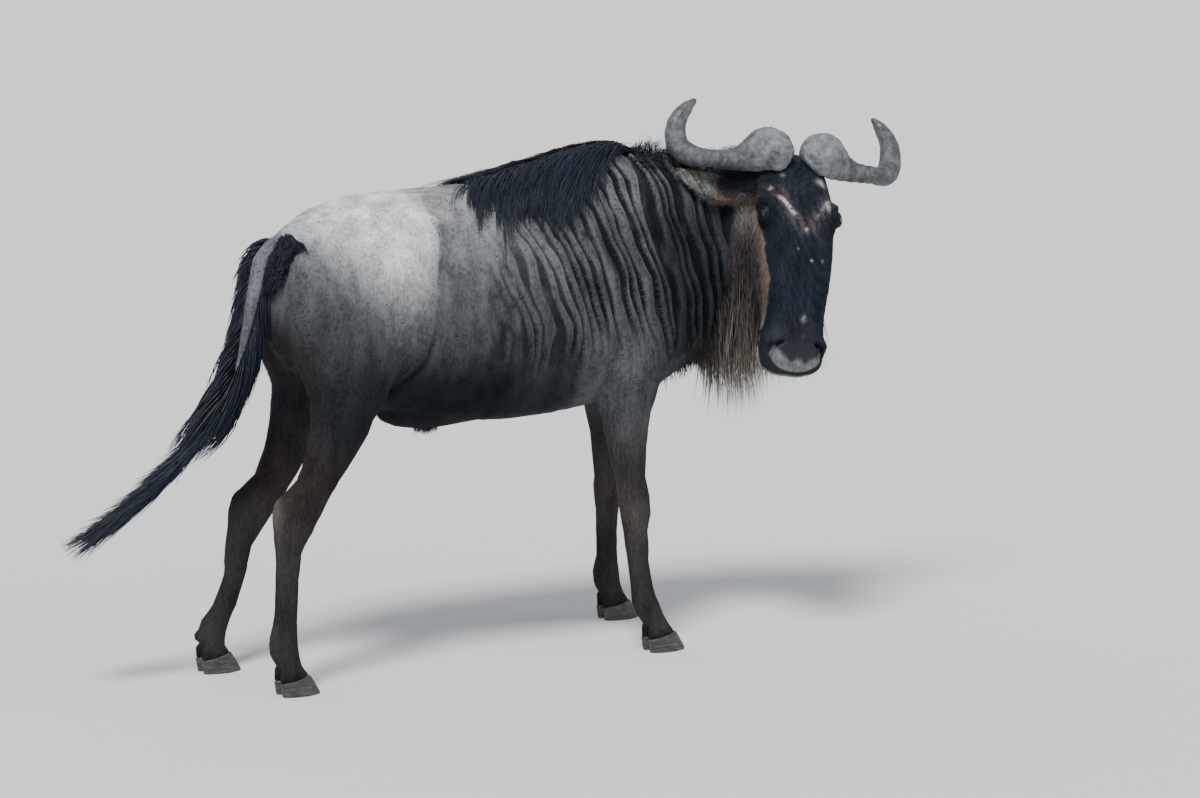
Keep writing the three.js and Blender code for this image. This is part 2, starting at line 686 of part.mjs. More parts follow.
function maneSolid() {
  const chance = dice(41);
  const locks = [];
  const count = 9;
  for (let i = 0; i < count; i++) {
    for (const side of [1, -1]) {
      const share = 0.08 + (0.9 * (i + 0.5 + 0.3 * chance())) / count;
      const long = 1 - smooth(share, 0.4, 0.62);
      const fall = maneFall(share, side) * (1.05 + 0.2 * chance());
      const back = 0.07 + 0.13 * long + 0.02 * chance();
      const tall = (0.35 + 0.65 * smooth(share, 0, 0.2)) * (1 - 0.7 * smooth(share, 0.4, 0.85));
      const stand = maneHeight * tall * (0.85 + 0.15 * chance());
      const path = [0, 0.12, 0.45, 0.75, 1].map((u) => {
        const spot = crestSkin(share - back * u, side * 2 + fall * u);
        return spot.at.addScaledVector(spot.out, u === 0 ? -4 : lerp(stand, 14, u));
      });
      const flat = crestSkin(share, 0).along.clone().cross(vec(0, 0, 1));
      flat.z = 0.2 * chance();
      locks.push(lock(path, flat, 36 + 5 * chance(), 10));
    }
  }
  return joined([maneCore(), ...locks]);
}

// Hair that hangs from a row of roots: a dense core and locks, `long` deep at each root
function hangingSolid({ roots, count, long, wide, sway, seed }) {
  const chance = dice(seed);
  const curve = new THREE.CatmullRomCurve3(roots);
  const frameAt = (share) => {
    const along = curve.getTangent(share);
    return { root: curve.getPoint(share), side: along.clone().cross(vec(0, 0, 1)).normalize() };
  };
  const faces = (share) => {
    const { root, side } = frameAt(share);
    const ends = 0.3 + 0.7 * Math.sin(Math.PI * share);
    const reach = long(share) * coreReach;
    const level = (u, half) => {
      const spot = root.clone().addScaledVector(side, half * wide * ends);
      spot.addScaledVector(sway, 0.25 * reach * u * u);
      spot.z += 12 - (reach + 12) * u;
      return spot;
    };
    const shape = [[0, 0.7], [0.5, 0.6], [1, 0.2]];
    return [shape.map(([u, half]) => level(u, half)), shape.map(([u, half]) => level(u, -half))];
  };
  const locks = Array.from({ length: count }, (_, i) => {
    const share = clamp((i + 0.5 + 0.4 * chance()) / count, 0.02, 0.98);
    const { root, side } = frameAt(share);
    const start = root.addScaledVector(side, 0.5 * wide * chance());
    const reach = long(share) * (1 + 0.2 * chance());
    const drift = side.clone().multiplyScalar(0.14 * reach * chance());
    drift.addScaledVector(sway, 0.25 * reach);
    const path = [0, 0.3, 0.65, 1].map((u) => {
      const spot = start.clone().addScaledVector(drift, u * u);
      spot.z += 8 - (reach + 8) * u;
      return spot;
    });
    const flat = curve.getTangent(share).applyAxisAngle(vec(0, 0, 1), 0.7 * chance());
    return lock(path, flat, wide, wide * 0.35);
  });
  return joined([drape(count, faces), ...locks]);
}

// Beard: from the underside of the neck up to the throat
function beardSolid() {
  const roots = Array.from({ length: 7 }, (_, i) => {
    const axis = crest.getPointAt(lerp(0.62, 0.95, i / 6));
    return landing(vec(axis.x, axis.y, 200), axis).at;
  });
  const long = (share) => lerp(30, 55, share) + 165 * smooth(share, 0.45, 0.8);
  return hangingSolid({ roots, count: 12, long, wide: 26, sway: vec(-0.3, 0.1, 0), seed: 7 });
}

// A shorter beard under the jaw
function jawBeardSolid() {
  const roots = Array.from({ length: 6 }, (_, i) => {
    const h = 200 + 54 * i;
    return landing(inHead(h, 0, -420), inHead(h, 0, -20)).at;
  });
  const long = (share) => lerp(190, 270, Math.sin(Math.PI * share)) * (1 - 0.15 * share ** 3);
  return hangingSolid({ roots, count: 7, long, wide: 25, sway: vec(0.1, 0.3, 0), seed: 23 });
}

// Forelock: black hair between the horns that falls over the forehead
function forelockSolid() {
  const chance = dice(5);
  const radii = [lerp(20, 66, coreReach ** 2), 24, 22];
  const knot = ball(radii, vec(lerp(18, 46, coreReach), 0, 36), headFrame, 8, 6);
  const count = 7;
  const locks = Array.from({ length: count }, (_, i) => {
    const s = 22 * ((2 * i + 1) / count - 1) + 3 * chance();
    const [from, to] = [16 + 12 * Math.abs(chance()), 110 + 24 * chance()];
    const path = [0, 0.3, 0.65, 1].map((u) => {
      const [h, across] = [lerp(from, to, u), s * (0.5 + 0.8 * u)];
      const spot = landing(inHead(h, across, 400), inHead(h, across, 0));
      return spot.at.addScaledVector(spot.out, u === 0 ? -8 : 5 + 7 * Math.sin(Math.PI * u));
    });
    return lock(path, inHead(0, 1, 0).sub(inHead(0, 0, 0)), 17, 6);
  });
  return joined([knot, ...locks]);
}

// Tail
const tailCurve = new THREE.CatmullRomCurve3(tailPath.map((p) => vec(...p)));
function tailFrame(share) {
  const centre = tailCurve.getPoint(share);
  const along = tailCurve.getTangent(share);
  const across = vec(-Math.sin(radians(tailTwist)), Math.cos(radians(tailTwist)), 0);
  across.addScaledVector(along, -along.dot(across)).normalize();
  return { centre, along, across, inner: across.clone().cross(along).negate() };
}

function dockSolid(grow = 0) {
  const radii = dockRadii.map((r) => ({ r: r + grow }));
  const ring = (share) => {
    const { centre, across, inner } = tailFrame(share * dockShare);
    const { r } = between(radii, share);
    return Array.from({ length: 8 }, (_, j) => {
      const angle = (j / 8) * 2 * Math.PI;
      return centre
        .clone()
        .addScaledVector(across, r * Math.cos(angle))
        .addScaledVector(inner, r * Math.sin(angle));
    });
  };
  return solidOf(skin(11, ring));
}

function tailHairSolid() {
  const chance = dice(67);
  const halves = bandHalves.map((half) => ({ half }));
  const faces = (share) => {
    const at = lerp(0.07, 1, share);
    const { centre, across, inner } = tailFrame(at);
    const { half } = between(halves, share);
    const set = 13 * (1 - smooth(at, 0.4, 0.6));
    const level = (side, deep) =>
      centre
        .clone()
        .addScaledVector(across, side * half * coreReach)
        .addScaledVector(inner, set + deep * bandThick);
    return [[-1, 0, 1].map((side) => level(side, 1)), [-0.9, 0, 0.9].map((side) => level(side, -1))];
  };
  const count = 7;
  const locks = [];
  for (let i = 0; i < count; i++) {
    for (const side of [1, -1]) {
      const start = lerp(0.08, 0.84, (i + 0.5 + 0.35 * chance()) / count);
      const { half } = between(halves, (start - 0.07) / 0.93);
      const reach = lerp(0.15, 0.27, smooth(start, 0.1, 0.5)) * (1 + 0.15 * chance());
      const spread = 0.95 + 0.25 * chance();
      const lift = 6 * chance();
      const path = [0, 0.3, 0.65, 1].map((u) => {
        const at = start + reach * u;
        const { centre, along, across, inner } = tailFrame(Math.min(at, 1));
        const set = 13 * (1 - smooth(at, 0.4, 0.6));
        centre.addScaledVector(along, Math.max(0, at - 1) * tailCurve.getLength());
        centre.addScaledVector(across, side * half * lerp(0.3, spread, Math.sqrt(u)));
        return centre.addScaledVector(inner, set + lift * u);
      });
      locks.push(lock(path, tailFrame(start).across, 30 + 4 * chance(), 9));
    }
  }
  return joined([drape(13, faces), ...locks]);
}

// Sheath tuft
function sheathTuftSolid() {
  const roots = [0, 1, 2, 3].map((i) => {
    const x = -96 + 24 * i;
    return landing(vec(x, 0, 200), vec(x, 0, 800)).at;
  });
  const long = () => 40;
  return hangingSolid({ roots, count: 4, long, wide: 12, sway: vec(-0.6, 0, 0), seed: 11 });
}

const hide = 0x4a4744;
const hair = 0x17171a;
for (const { name } of labels) {
  const hoof = name.includes("hoof");
  node(name, named.get(name), hoof ? 0x2b2927 : hide, hoof ? 0.5 : 0.8);
}
for (const [word, side] of [["right", -1], ["left", 1]]) {
  node(`eye_${word}`, eyeSolid(side), 0x14110f, 0.1);
  node(`horn_${word}`, largest(hornSolid(side).subtract(grown)), 0x6b6862, 0.6);
  const bare = earSolid(word).subtract(grown).subtract(hornSolid(side, gap));
  node(`ear_${word}`, largest(bare), 0x5d5850);
}
node("tail_dock", largest(dockSolid().subtract(grown)), hide);
const clear = joined([hornSolid(-1, gap), hornSolid(1, gap), earSolid("right", 1), earSolid("left", 1)]);
const tufts = [
  ["mane", maneSolid()],
  ["beard", beardSolid()],
  ["jaw_beard", jawBeardSolid()],
  ["forelock", forelockSolid()],
  ["tail_hair", tailHairSolid().subtract(dockSolid(gap))],
  ["sheath_tuft", sheathTuftSolid()],
];
for (const [name, solid] of tufts) {
  node(name, largest(solid.subtract(grown).subtract(clear)), hair, 0.9);
}

// The model stands centred over its own footprint.
const box = new THREE.Box3().setFromObject(root);
root.position.set(-(box.min.x + box.max.x) / 2, -(box.min.y + box.max.y) / 2, -box.min.z);

export default root;
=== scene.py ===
import math

import bpy
import numpy as np
from mathutils import Vector, Matrix, bvhtree, kdtree


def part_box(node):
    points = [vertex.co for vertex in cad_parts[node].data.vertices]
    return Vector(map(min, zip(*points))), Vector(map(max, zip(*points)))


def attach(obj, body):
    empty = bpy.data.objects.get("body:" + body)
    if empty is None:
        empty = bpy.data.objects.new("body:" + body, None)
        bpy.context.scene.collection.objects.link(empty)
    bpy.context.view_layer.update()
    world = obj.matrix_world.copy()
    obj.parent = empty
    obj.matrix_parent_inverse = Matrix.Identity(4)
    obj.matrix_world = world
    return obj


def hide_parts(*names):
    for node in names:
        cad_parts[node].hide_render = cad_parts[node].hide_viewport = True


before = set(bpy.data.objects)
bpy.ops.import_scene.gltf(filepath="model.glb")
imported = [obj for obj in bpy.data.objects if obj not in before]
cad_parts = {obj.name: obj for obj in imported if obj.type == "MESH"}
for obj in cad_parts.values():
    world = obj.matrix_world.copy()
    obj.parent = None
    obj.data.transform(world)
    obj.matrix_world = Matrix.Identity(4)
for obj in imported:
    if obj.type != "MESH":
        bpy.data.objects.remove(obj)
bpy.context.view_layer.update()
print("frame loaded")


# Places. The animal stands with the middle of its four feet at standOrigin, rump to chest along X.
hoofCorner = (-0.5834, -0.1975)  # lowest x and y of the right hind outer hoof, from standOrigin
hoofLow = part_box("hind_hoof_right_outer")[0]
standOrigin = np.array([hoofLow[0] - hoofCorner[0], hoofLow[1] - hoofCorner[1], 0.0])
headPose = {"place": (0.902, -0.150, 1.267), "yaw": -115, "pitch": 61, "roll": -16.5}
headAxes = np.array(
    Matrix.Rotation(math.radians(headPose["yaw"]), 3, "Z")
    @ Matrix.Rotation(math.radians(headPose["pitch"]), 3, "Y")
    @ Matrix.Rotation(math.radians(headPose["roll"]), 3, "X")
)
headPlace = np.array(headPose["place"]) + standOrigin


def toHead(points):  # along the face, to the animal's left, out of the forehead
    return (points - headPlace) @ headAxes


def fromHead(points):
    return np.asarray(points, float) @ headAxes.T + headPlace


def smooth(x, a, b):
    t = np.clip((x - a) / (b - a), 0, 1)
    return t * t * (3 - 2 * t)


def fade(x, a, b):
    return 1 - smooth(x, a, b)


def bell(x, middle, width):
    return np.exp(-(((x - middle) / width) ** 2))


def unit(vectors):
    return vectors / np.maximum(np.linalg.norm(vectors, axis=-1, keepdims=True), 1e-9)


# Mesh helpers
def pick(piece):
    bpy.ops.object.select_all(action="DESELECT")
    bpy.context.view_layer.objects.active = piece
    piece.select_set(True)


def modify(piece, kind, **values):
    pick(piece)
    change = piece.modifiers.new(kind.lower(), kind)
    for name, value in values.items():
        setattr(change, name, value)
    bpy.ops.object.modifier_apply(modifier=change.name)


def clearWeights(piece):
    pick(piece)
    bpy.ops.object.vertex_group_remove(all=True)


def thinTo(piece, most, **values):  # down to a number of triangles
    count = sum(len(face.vertices) - 2 for face in piece.data.polygons)
    modify(piece, "DECIMATE", ratio=min(1, most / count), **values)
    return count


def copyNodes(nodes, name):  # one closed copy of some CAD nodes
    copies = []
    for node in nodes:
        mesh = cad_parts[node].data.copy()
        copy = bpy.data.objects.new(name, mesh)
        bpy.context.scene.collection.objects.link(copy)
        copies.append(copy)
    bpy.ops.object.select_all(action="DESELECT")
    for copy in copies:
        copy.select_set(True)
    bpy.context.view_layer.objects.active = copies[0]
    if len(copies) > 1:
        bpy.ops.object.join()
    piece = copies[0]
    piece.name = name
    piece.data.name = name
    piece.data.materials.clear()
    bpy.ops.object.mode_set(mode="EDIT")
    bpy.ops.mesh.select_all(action="SELECT")
    bpy.ops.mesh.remove_doubles(threshold=0.00001)
    bpy.ops.object.mode_set(mode="OBJECT")
    for attribute in [a.name for a in piece.data.attributes if a.name.startswith("UV")]:
        piece.data.attributes.remove(piece.data.attributes[attribute])
    return piece


def readPoints(mesh, what="co"):
    data = np.empty(len(mesh.vertices) * 3)
    mesh.vertices.foreach_get(what, data)
    return data.reshape(-1, 3)


def writePoints(mesh, points):
    mesh.vertices.foreach_set("co", np.ascontiguousarray(points, float).ravel())
    mesh.update()


def writeColour(mesh, name, colours):
    layer = mesh.color_attributes.new(name, "FLOAT_COLOR", "POINT")
    values = np.ones((len(mesh.vertices), 4))
    values[:, :3] = colours
    layer.data.foreach_set("color", values.ravel())


def weigh(piece, name, weights):
    group = piece.vertex_groups.new(name=name)
    steps = np.round(np.clip(weights, 0, 1) * 20).astype(int)
    for step in range(21):
        members = np.nonzero(steps == step)[0]
        if len(members):
            group.add(members.tolist(), step / 20, "REPLACE")


def subdivideNear(piece, centres, radius):  # finer faces near some points
    mesh = piece.data
    middles = np.empty(len(mesh.polygons) * 3)
    mesh.polygons.foreach_get("center", middles)
    middles = middles.reshape(-1, 3)
    near = np.zeros(len(middles), bool)
    for centre in centres:
        near |= np.linalg.norm(middles - centre, axis=1) < radius
    pick(piece)
    bpy.ops.object.mode_set(mode="EDIT")
    bpy.ops.mesh.select_all(action="DESELECT")
    bpy.ops.mesh.select_mode(type="FACE")
    bpy.ops.object.mode_set(mode="OBJECT")
    mesh.polygons.foreach_set("select", near)
    bpy.ops.object.mode_set(mode="EDIT")
    bpy.ops.mesh.subdivide(number_cuts=1, smoothness=0)
    bpy.ops.object.mode_set(mode="OBJECT")


# Camera, at the photograph's place
cameraValues = {
    "place": (-5.031, -9.865, 2.690), "right": (0.875, -0.484, 0.0),
    "forward": (0.476, 0.861, -0.179), "lens": 132, "sensor": 36,
}
forward = Vector(cameraValues["forward"]).normalized()
right = Vector(cameraValues["right"])
right = (right - forward * right.dot(forward)).normalized()
turn = Matrix((right, right.cross(forward), -forward)).transposed().to_4x4()
bpy.ops.object.camera_add()
camera = bpy.context.object
camera.matrix_world = Matrix.Translation(Vector(cameraValues["place"]) + Vector(standOrigin)) @ turn
camera.data.lens = cameraValues["lens"]
camera.data.sensor_width = cameraValues["sensor"]
camera.data.clip_end = 100
bpy.context.scene.camera = camera


# Markings and painted light: one colour for each place on the hide, with painted sheen on top of the body and painted
# shade low on it and in its creases, used by the skin and by the hair that grows there
# pale serves as painted sheen on the top-lit rump, loin, back and shoulder
hideColours = {
    "grey": (0.083, 0.088, 0.096), "pale": (0.60, 0.60, 0.595), "dark": (0.0050, 0.0072, 0.0108),
    "brown": (0.024, 0.0180, 0.0165), "black": (0.0095, 0.0140, 0.0205), "cheek": (0.150, 0.118, 0.096),
    "bare": (0.074, 0.053, 0.057), "scar": (0.62, 0.58, 0.57), "cheekDark": (0.055, 0.050, 0.048),
    "dock": (0.140, 0.150, 0.165), "muzzle": (0.018, 0.020, 0.026),
    "pad": (0.185, 0.198, 0.210), "lip": (0.26, 0.25, 0.225), "temple": (0.20, 0.18, 0.155),
    "earInside": (0.125, 0.145, 0.138), "earEdge": (0.125, 0.092, 0.070), "callus": (0.16, 0.135, 0.115),
}
eyeValues = {"h": 0.192, "s": 0.092, "d": 0.050, "r": 0.0205, "open": 0.0165, "tall": 0.0088}
nostrilValues = {"h": 0.530, "s": 0.066, "d": 0.006, "side": -0.011}
mouthValues = {"h": 0.512, "d": -0.044}
padValues = {"middle": 0.552, "side": -0.011, "wide": 0.073, "tall": 0.064, "lip": -0.048}
maskEdge = np.array([  # along the face, and how far out of it the black mask begins
    (0.05, -0.020), (0.10, -0.005), (0.20, 0.012), (0.25, 0.024), (0.36, 0.026), (0.42, 0.008),
    (0.457, -0.012), (0.50, -0.060), (0.54, -0.200),
])
faceSpots = [  # place along and across the face, size, strength
    ((0.122, -0.080), (0.005, 0.004), 0.8), ((0.099, 0.060), (0.010, 0.015), 0.7),
    ((0.166, 0.070), (0.011, 0.005), 0.7), ((0.239, 0.002), (0.005, 0.004), 0.9),
    ((0.519, -0.005), (0.007, 0.007), 0.6), ((0.472, -0.004), (0.009, 0.006), 0.35),
    ((0.293, -0.020), (0.003, 0.002), 0.8), ((0.319, 0.017), (0.003, 0.002), 0.8),
    ((0.317, 0.049), (0.003, 0.002), 0.8), ((0.085, -0.050), (0.008, 0.006), 0.3),
]


def mix(colours, name, share):
    share = np.asarray(share)[:, None]
    return colours * (1 - share) + np.array(hideColours[name]) * share


def onPad(h, s, d):  # across and down the nose pad, and how far out from its middle
    across, down = (s - padValues["side"]) / padValues["wide"], (h - d - padValues["middle"]) / padValues["tall"]
    return across, down, np.hypot(across, down)


def eyeAxes(side):  # where an eye looks, and its opening's long and short way
    gaze = unit(np.array([[0.10, side * 0.86, 0.50]]))[0]
    wide = unit(np.array([[1, 0, 0]]) - gaze * gaze[0])[0]
    return gaze, wide, np.cross(gaze, wide)


def wave(points, seed, scale):  # soft noise from a few sines
    chance = np.random.default_rng(seed)
    total = np.zeros(len(points))
    for octave in range(5):
        direction = unit(chance.normal(size=(1, 3)))[0] * (1 + 0.7 * octave) / scale
        total += np.sin(points @ direction * 2 * math.pi + chance.uniform(0, 6.28)) / (1 + 0.5 * octave)
    return total / 2.4


def stripes(p):  # the upright brindle of neck, shoulder and ribs, 1 on a dark stripe
    x, y, z = p[:, 0], p[:, 1], p[:, 2]
    fore = smooth(x, 0.22, 0.42)
    lean = (0.36 - 0.12 * fore) * (z - 0.95) - 0.05 * smooth(z, 0.74, 0.90) * (1 - fore)
    along = x + lean + 0.012 * wave(p, 3, 0.40) + 0.005 * wave(p, 5, 0.15)
    stretched = np.stack([along, 0.12 * y, 0.12 * z], 1)
    count = along / (0.033 + 0.003 * fore) + 0.55 * wave(stretched, 8, 0.15)
    line = 0.66 * np.sin(2 * math.pi * count) + 0.42 * wave(stretched, 9, 0.060) + 0.18 * wave(p, 11, 0.12)
    neck = smooth(x, 0.40, 0.56)
    return smooth(line, -0.02 - 0.30 * neck, 0.36 - 0.16 * neck)


flankLine = np.array([  # height and place of the flank fold, which runs down into the stifle
    (0.63, -0.350), (0.66, -0.325), (0.70, -0.285), (0.76, -0.235), (0.80, -0.200),
    (0.83, -0.178), (0.87, -0.167), (0.92, -0.160),
    (0.98, -0.154), (1.03, -0.147), (1.08, -0.133), (1.12, -0.125), (1.15, -0.127), (1.18, -0.136),
])


def foldLines(p):  # creases of the skin: flank and stifle, elbow, and front of the forearm
    x, y, z = p[:, 0], p[:, 1], p[:, 2]
    flank = np.interp(z, flankLine[:, 0], flankLine[:, 1]) + 0.003 * wave(p, 13, 0.12)
    uneven = 0.75 + 0.25 * wave(p, 15, 0.10)
    soft = 0.0050 + 0.012 * fade(z, 0.76, 0.86)
    deep = smooth(z, 0.63, 0.70) * fade(z, 1.12, 1.19) * (0.55 + 0.45 * fade(z, 0.80, 1.0))
    total = uneven * deep * bell(x, flank, soft)
    elbow = 0.252 + 0.012 * wave(p, 14, 0.2)
    total += 0.6 * bell(x, elbow, 0.014) * smooth(z, 0.66, 0.70) * fade(z, 0.76, 0.84)
    front = 0.462 + 1.1 * (0.729 - z)
    total += 0.25 * bell(x, front, 0.018) * smooth(z, 0.67, 0.70) * fade(z, 0.74, 0.78)
    return np.clip(total, 0, 1) * (np.abs(y) > 0.06)


def markingsAndPaintedLight(points):
    p = points - standOrigin
    x, y, z = p[:, 0], p[:, 1], p[:, 2]
    h, s, d = toHead(points).T
    faceness = smooth(h, -0.02, 0.05) * smooth(d, -0.16, -0.10) * fade(np.abs(s), 0.125, 0.15)
    muzzleness = (h < 0.62) * (np.abs(s + 0.011) < 0.12) * smooth(d, -0.135, -0.115)
    colours = np.tile(np.array(hideColours["grey"]), (len(p), 1))
    trunk = smooth(z, 0.40, 0.52)
    cloud = 0.5 + 0.5 * wave(p, 21, 0.24)
    fold = np.interp(z, flankLine[:, 0], flankLine[:, 1])  # the flank fold bounds the pale loin
    # painted sheen: the pale rump and loin stand for sun glancing off the glossy coat on top
    rumpSheen = smooth(z, 0.98 + 0.10 * cloud, 1.20) * fade(x, fold - 0.004, fold + 0.012) * smooth(x, -0.62, -0.50)
    loinSheen = np.exp(-(((x + 0.24) / 0.11) ** 2) - ((z - 1.09) / 0.13) ** 2) * (x < fold + 0.004)
    colours = mix(colours, "pale", np.clip(rumpSheen * (0.64 + 0.22 * cloud) + 0.75 * loinSheen, 0, 0.96))
    # painted top light: the back ahead of the fold, the top of the ribs and the top of the shoulder are paler where
    # light from above falls
    ahead = smooth(z, 0.98, 1.20) * smooth(x, fold, fold + 0.02) * fade(x, -0.06, 0.16)
    colours = mix(colours, "pale", ahead * (0.11 + 0.14 * cloud + 0.14 * smooth(z, 1.13, 1.19)))
    ribsTopLight = smooth(x, -0.10, 0.0) * fade(x, 0.12, 0.24) * smooth(z, 0.98, 1.06)
    colours = mix(colours, "pale", ribsTopLight * 0.09)
    shoulderTopLight = smooth(x, 0.30, 0.38) * fade(x, 0.50, 0.58) * smooth(z, 1.08, 1.24)
    colours = mix(colours, "pale", shoulderTopLight * 0.14)
    # painted shade on the lower trunk, under the light from above
    lowShade = fade(z, 0.72, 1.02) * trunk * fade(x, 0.20, 0.30)
    colours = mix(colours, "dark", lowShade * (0.74 + 0.16 * cloud) * (1 - 0.22 * smooth(x, 0.02, 0.12)))
    # painted shade under the belly
    bellyShade = fade(z, 0.66, 0.84 - 0.06 * smooth(x, 0.02, 0.12)) * trunk * smooth(x, -0.34, -0.16)
    bellyShade = bellyShade * (1 - 0.25 * smooth(x, 0.02, 0.12)) * (1 - 0.72 * smooth(x, 0.24, 0.30))
    colours = mix(colours, "dark", bellyShade * smooth(z, 0.58, 0.66))
    # painted shade on the lower hindquarters and thighs, under the light from above
    rearShade = fade(x, -0.34, -0.22) * fade(z, 0.90, 1.08) * trunk
    colours = mix(colours, "dark", rearShade * 0.36)
    # painted shade, brown-black, behind the thighs and between the hind legs
    cleftShade = fade(x, -0.50, -0.43) * fade(z, 0.84, 0.96) * trunk  # brown-black behind the thighs
    between = fade(np.abs(y), 0.06, 0.11) * fade(z, 0.78, 0.88) * smooth(z, 0.45, 0.55)
    cleftShade = np.maximum(cleftShade, between * (x < -0.30))
    colours = mix(colours, "brown", cleftShade * 0.85)
    fore = smooth(x, 0.20, 0.38) * smooth(z, 0.84, 0.96)
    colours = mix(colours, "dark", fore * 0.12)
    ahead = smooth(x, 0.44, 0.60) * fade(z, 1.10, 1.24) * smooth(z, 0.62, 0.80)
    colours = mix(colours, "dark", ahead * 0.58)
    upper = smooth(z, 1.02, 1.14)
    band = smooth(x, -0.12 + 0.16 * upper, 0.08 + 0.10 * upper) * smooth(z, 0.70, 0.84) * (1 - faceness)
    band = band * (1 - fade(z, 0.80, 0.90) * smooth(x, 0.24, 0.30) * fade(x, 0.46, 0.52))
    colours = mix(colours, "dark", stripes(p) * band * (0.78 + 0.20 * smooth(x, 0.1, 0.35)))
    # painted shade in the skin's creases: flank fold, stifle, elbow and front of the forearm
    colours = mix(colours, "dark", foldLines(p) * 0.75)
    spine = smooth(z, 1.20, 1.235) * smooth(x, -0.1, 0.05) * fade(x, 0.40, 0.50) * fade(np.abs(y), 0.02, 0.05)
    colours = mix(colours, "dark", spine * 0.6)
    leg = fade(z, 0.50, 0.70)
    colours = mix(colours, "brown", leg * 0.85)
    shank = bell(z, 0.20, 0.09) * leg
    colours = mix(colours, "dark", shank * 0.30)
    knee = bell(z, 0.36, 0.06) * leg * (x > 0)
    colours = mix(colours, "callus", knee * 0.12)
    for side in (1, -1):
        spot = np.array([-0.590 if side < 0 else -0.672, side * 0.150, 0.47])
        near = np.exp(-(np.linalg.norm((p - spot) / (0.03, 0.03, 0.045), axis=1) ** 2))
        colours = mix(colours, "callus", near * 0.55)
    colours = mix(colours, "dark", fade(z, 0.055, 0.085) * 0.5)
    # head: a black mask, with lighter hair behind its edge
    edge = np.interp(h, maskEdge[:, 0], maskEdge[:, 1]) + 0.005 * wave(p, 32, 0.04)
    behind = faceness * smooth(edge - d, -0.004, 0.008)
    strands = 0.5 + 0.5 * wave(np.stack([0.15 * h, s, d], 1), 31, 0.008)
    colours = mix(colours, "black", faceness * 0.97)
    colours = colours * (1 + (faceness * (0.9 * strands - 0.45))[:, None])
    strip = fade(edge - d, 0.022, 0.052)
    colours = mix(colours, "cheekDark", behind * 0.9)
    colours = mix(colours, "cheek", behind * (0.65 + 0.35 * strands) * (0.10 + 0.90 * strip))
    temple = behind * fade(h, 0.14, 0.25) * smooth(d, -0.12, -0.06)
    colours = mix(colours, "temple", temple * (0.05 + 0.75 * strands))
    colours = mix(colours, "black", behind * fade(strands, 0.0, 0.35) * 0.6)
    face = faceness * (1 - behind) * (d > 0.01)
    arm = 0.70 * np.clip(0.245 - h, 0, 1)  # the bare V above and between the eyes
    off = np.abs(np.abs(s - 0.004) - arm)
    along = smooth(h, 0.095, 0.125) * fade(h, 0.242, 0.262)
    patchy = 0.5 + 0.5 * wave(p, 41, 0.035)
    ragged = smooth(wave(p, 44, 0.022) + 0.8 * patchy, -0.2, 0.9)
    thin = face * fade(off + 0.010 * wave(p, 45, 0.03), 0.008, 0.040) * along
    colours = mix(colours, "bare", thin * (0.15 + 0.65 * ragged))
    streak = bell(off, 0, 0.0065) * smooth(h, 0.140, 0.158) * fade(h, 0.195, 0.215) * (0.25 + 0.75 * (s < 0))
    grit = smooth(wave(p, 42, 0.010) + 0.7 * wave(p, 43, 0.005), -0.7, 0.4)
    colours = mix(colours, "scar", face * streak * grit * 0.80)
    spotH, spotS = h + 0.0025 * wave(p, 48, 0.012), s + 0.0025 * wave(p, 49, 0.012)
    for spot, size, share in faceSpots:
        near = np.exp(-(((spotH - spot[0]) / size[0]) ** 2) - ((spotS - spot[1]) / size[1]) ** 2)
        colours = mix(colours, "scar", face * near * (0.25 + 0.75 * grit) * share)
    # muzzle: a pale bare nose pad between the nostrils, dark round it with painted shade in the nostril openings, and a
    # pale lower lip
    colours = mix(colours, "muzzle", smooth(h, 0.470, 0.510) * muzzleness * 0.9)
    across, down, outward = onPad(h, s, d)
    pad = fade(outward, 0.90, 0.98) * muzzleness * (h > 0.49)
    cracks = smooth(wave(p, 46, 0.0042), -0.9, -0.2)
    colours = mix(colours, "pad", pad * (0.55 + 0.45 * cracks) * (0.75 + 0.25 * wave(p, 47, 0.02)))
    # the pad's dark top, with its two points: dark skin with the nostril openings' shade painted in
    teeth = bell(np.abs(across - 0.05), 0.26, 0.13)
    notchShade = smooth(0.06 + 0.26 * teeth - down - 0.9 * np.clip(np.abs(across - 0.12) - 0.45, 0, 1), -0.24, 0.20)
    colours = mix(colours, "dark", notchShade * fade(outward, 0.99, 1.05) * muzzleness * (h > 0.49) * 0.93)
    rim = bell(outward, 1.02, 0.05) * (down < 0.35)
    colours = mix(colours, "black", rim * muzzleness * (h > 0.49))
    # painted shade in the nostril slits
    nostrilShade = bell(outward, 1.0, 0.10) * smooth(np.abs(across), 0.50, 0.72) * fade(down, -0.10, 0.30)
    colours = mix(colours, "black", nostrilShade * muzzleness * (h > 0.48))
    under = padValues["lip"] + 0.07 * (h - mouthValues["h"]) - d
    below = smooth(under, -0.002, 0.004) * (1 - 0.85 * smooth(under, 0.010, 0.022)) * smooth(h, 0.47, 0.52)
    colours = mix(colours, "lip", below * muzzleness * smooth(d, -0.100, -0.070) * 0.8)
    return np.clip(colours, 0, 1)


# Skin: one closed surface over every node of flesh
fleshNodes = ["torso", "neck", "head", "ear_right", "ear_left", "tail_dock"]
fleshNodes += [
    f"{end}_leg_{side}_{part}"
    for end in ("front", "hind") for side in ("right", "left") for part in ("upper", "lower")
]
skinValues = {"voxel": 0.0034, "smoothing": 220, "most": 188000}


def headShare(local, along, out, side):  # 1 on the head, from places in its own frame
    return smooth(local[:, 0], *along) * smooth(local[:, 2], *out) * (np.abs(local[:, 1]) < side)


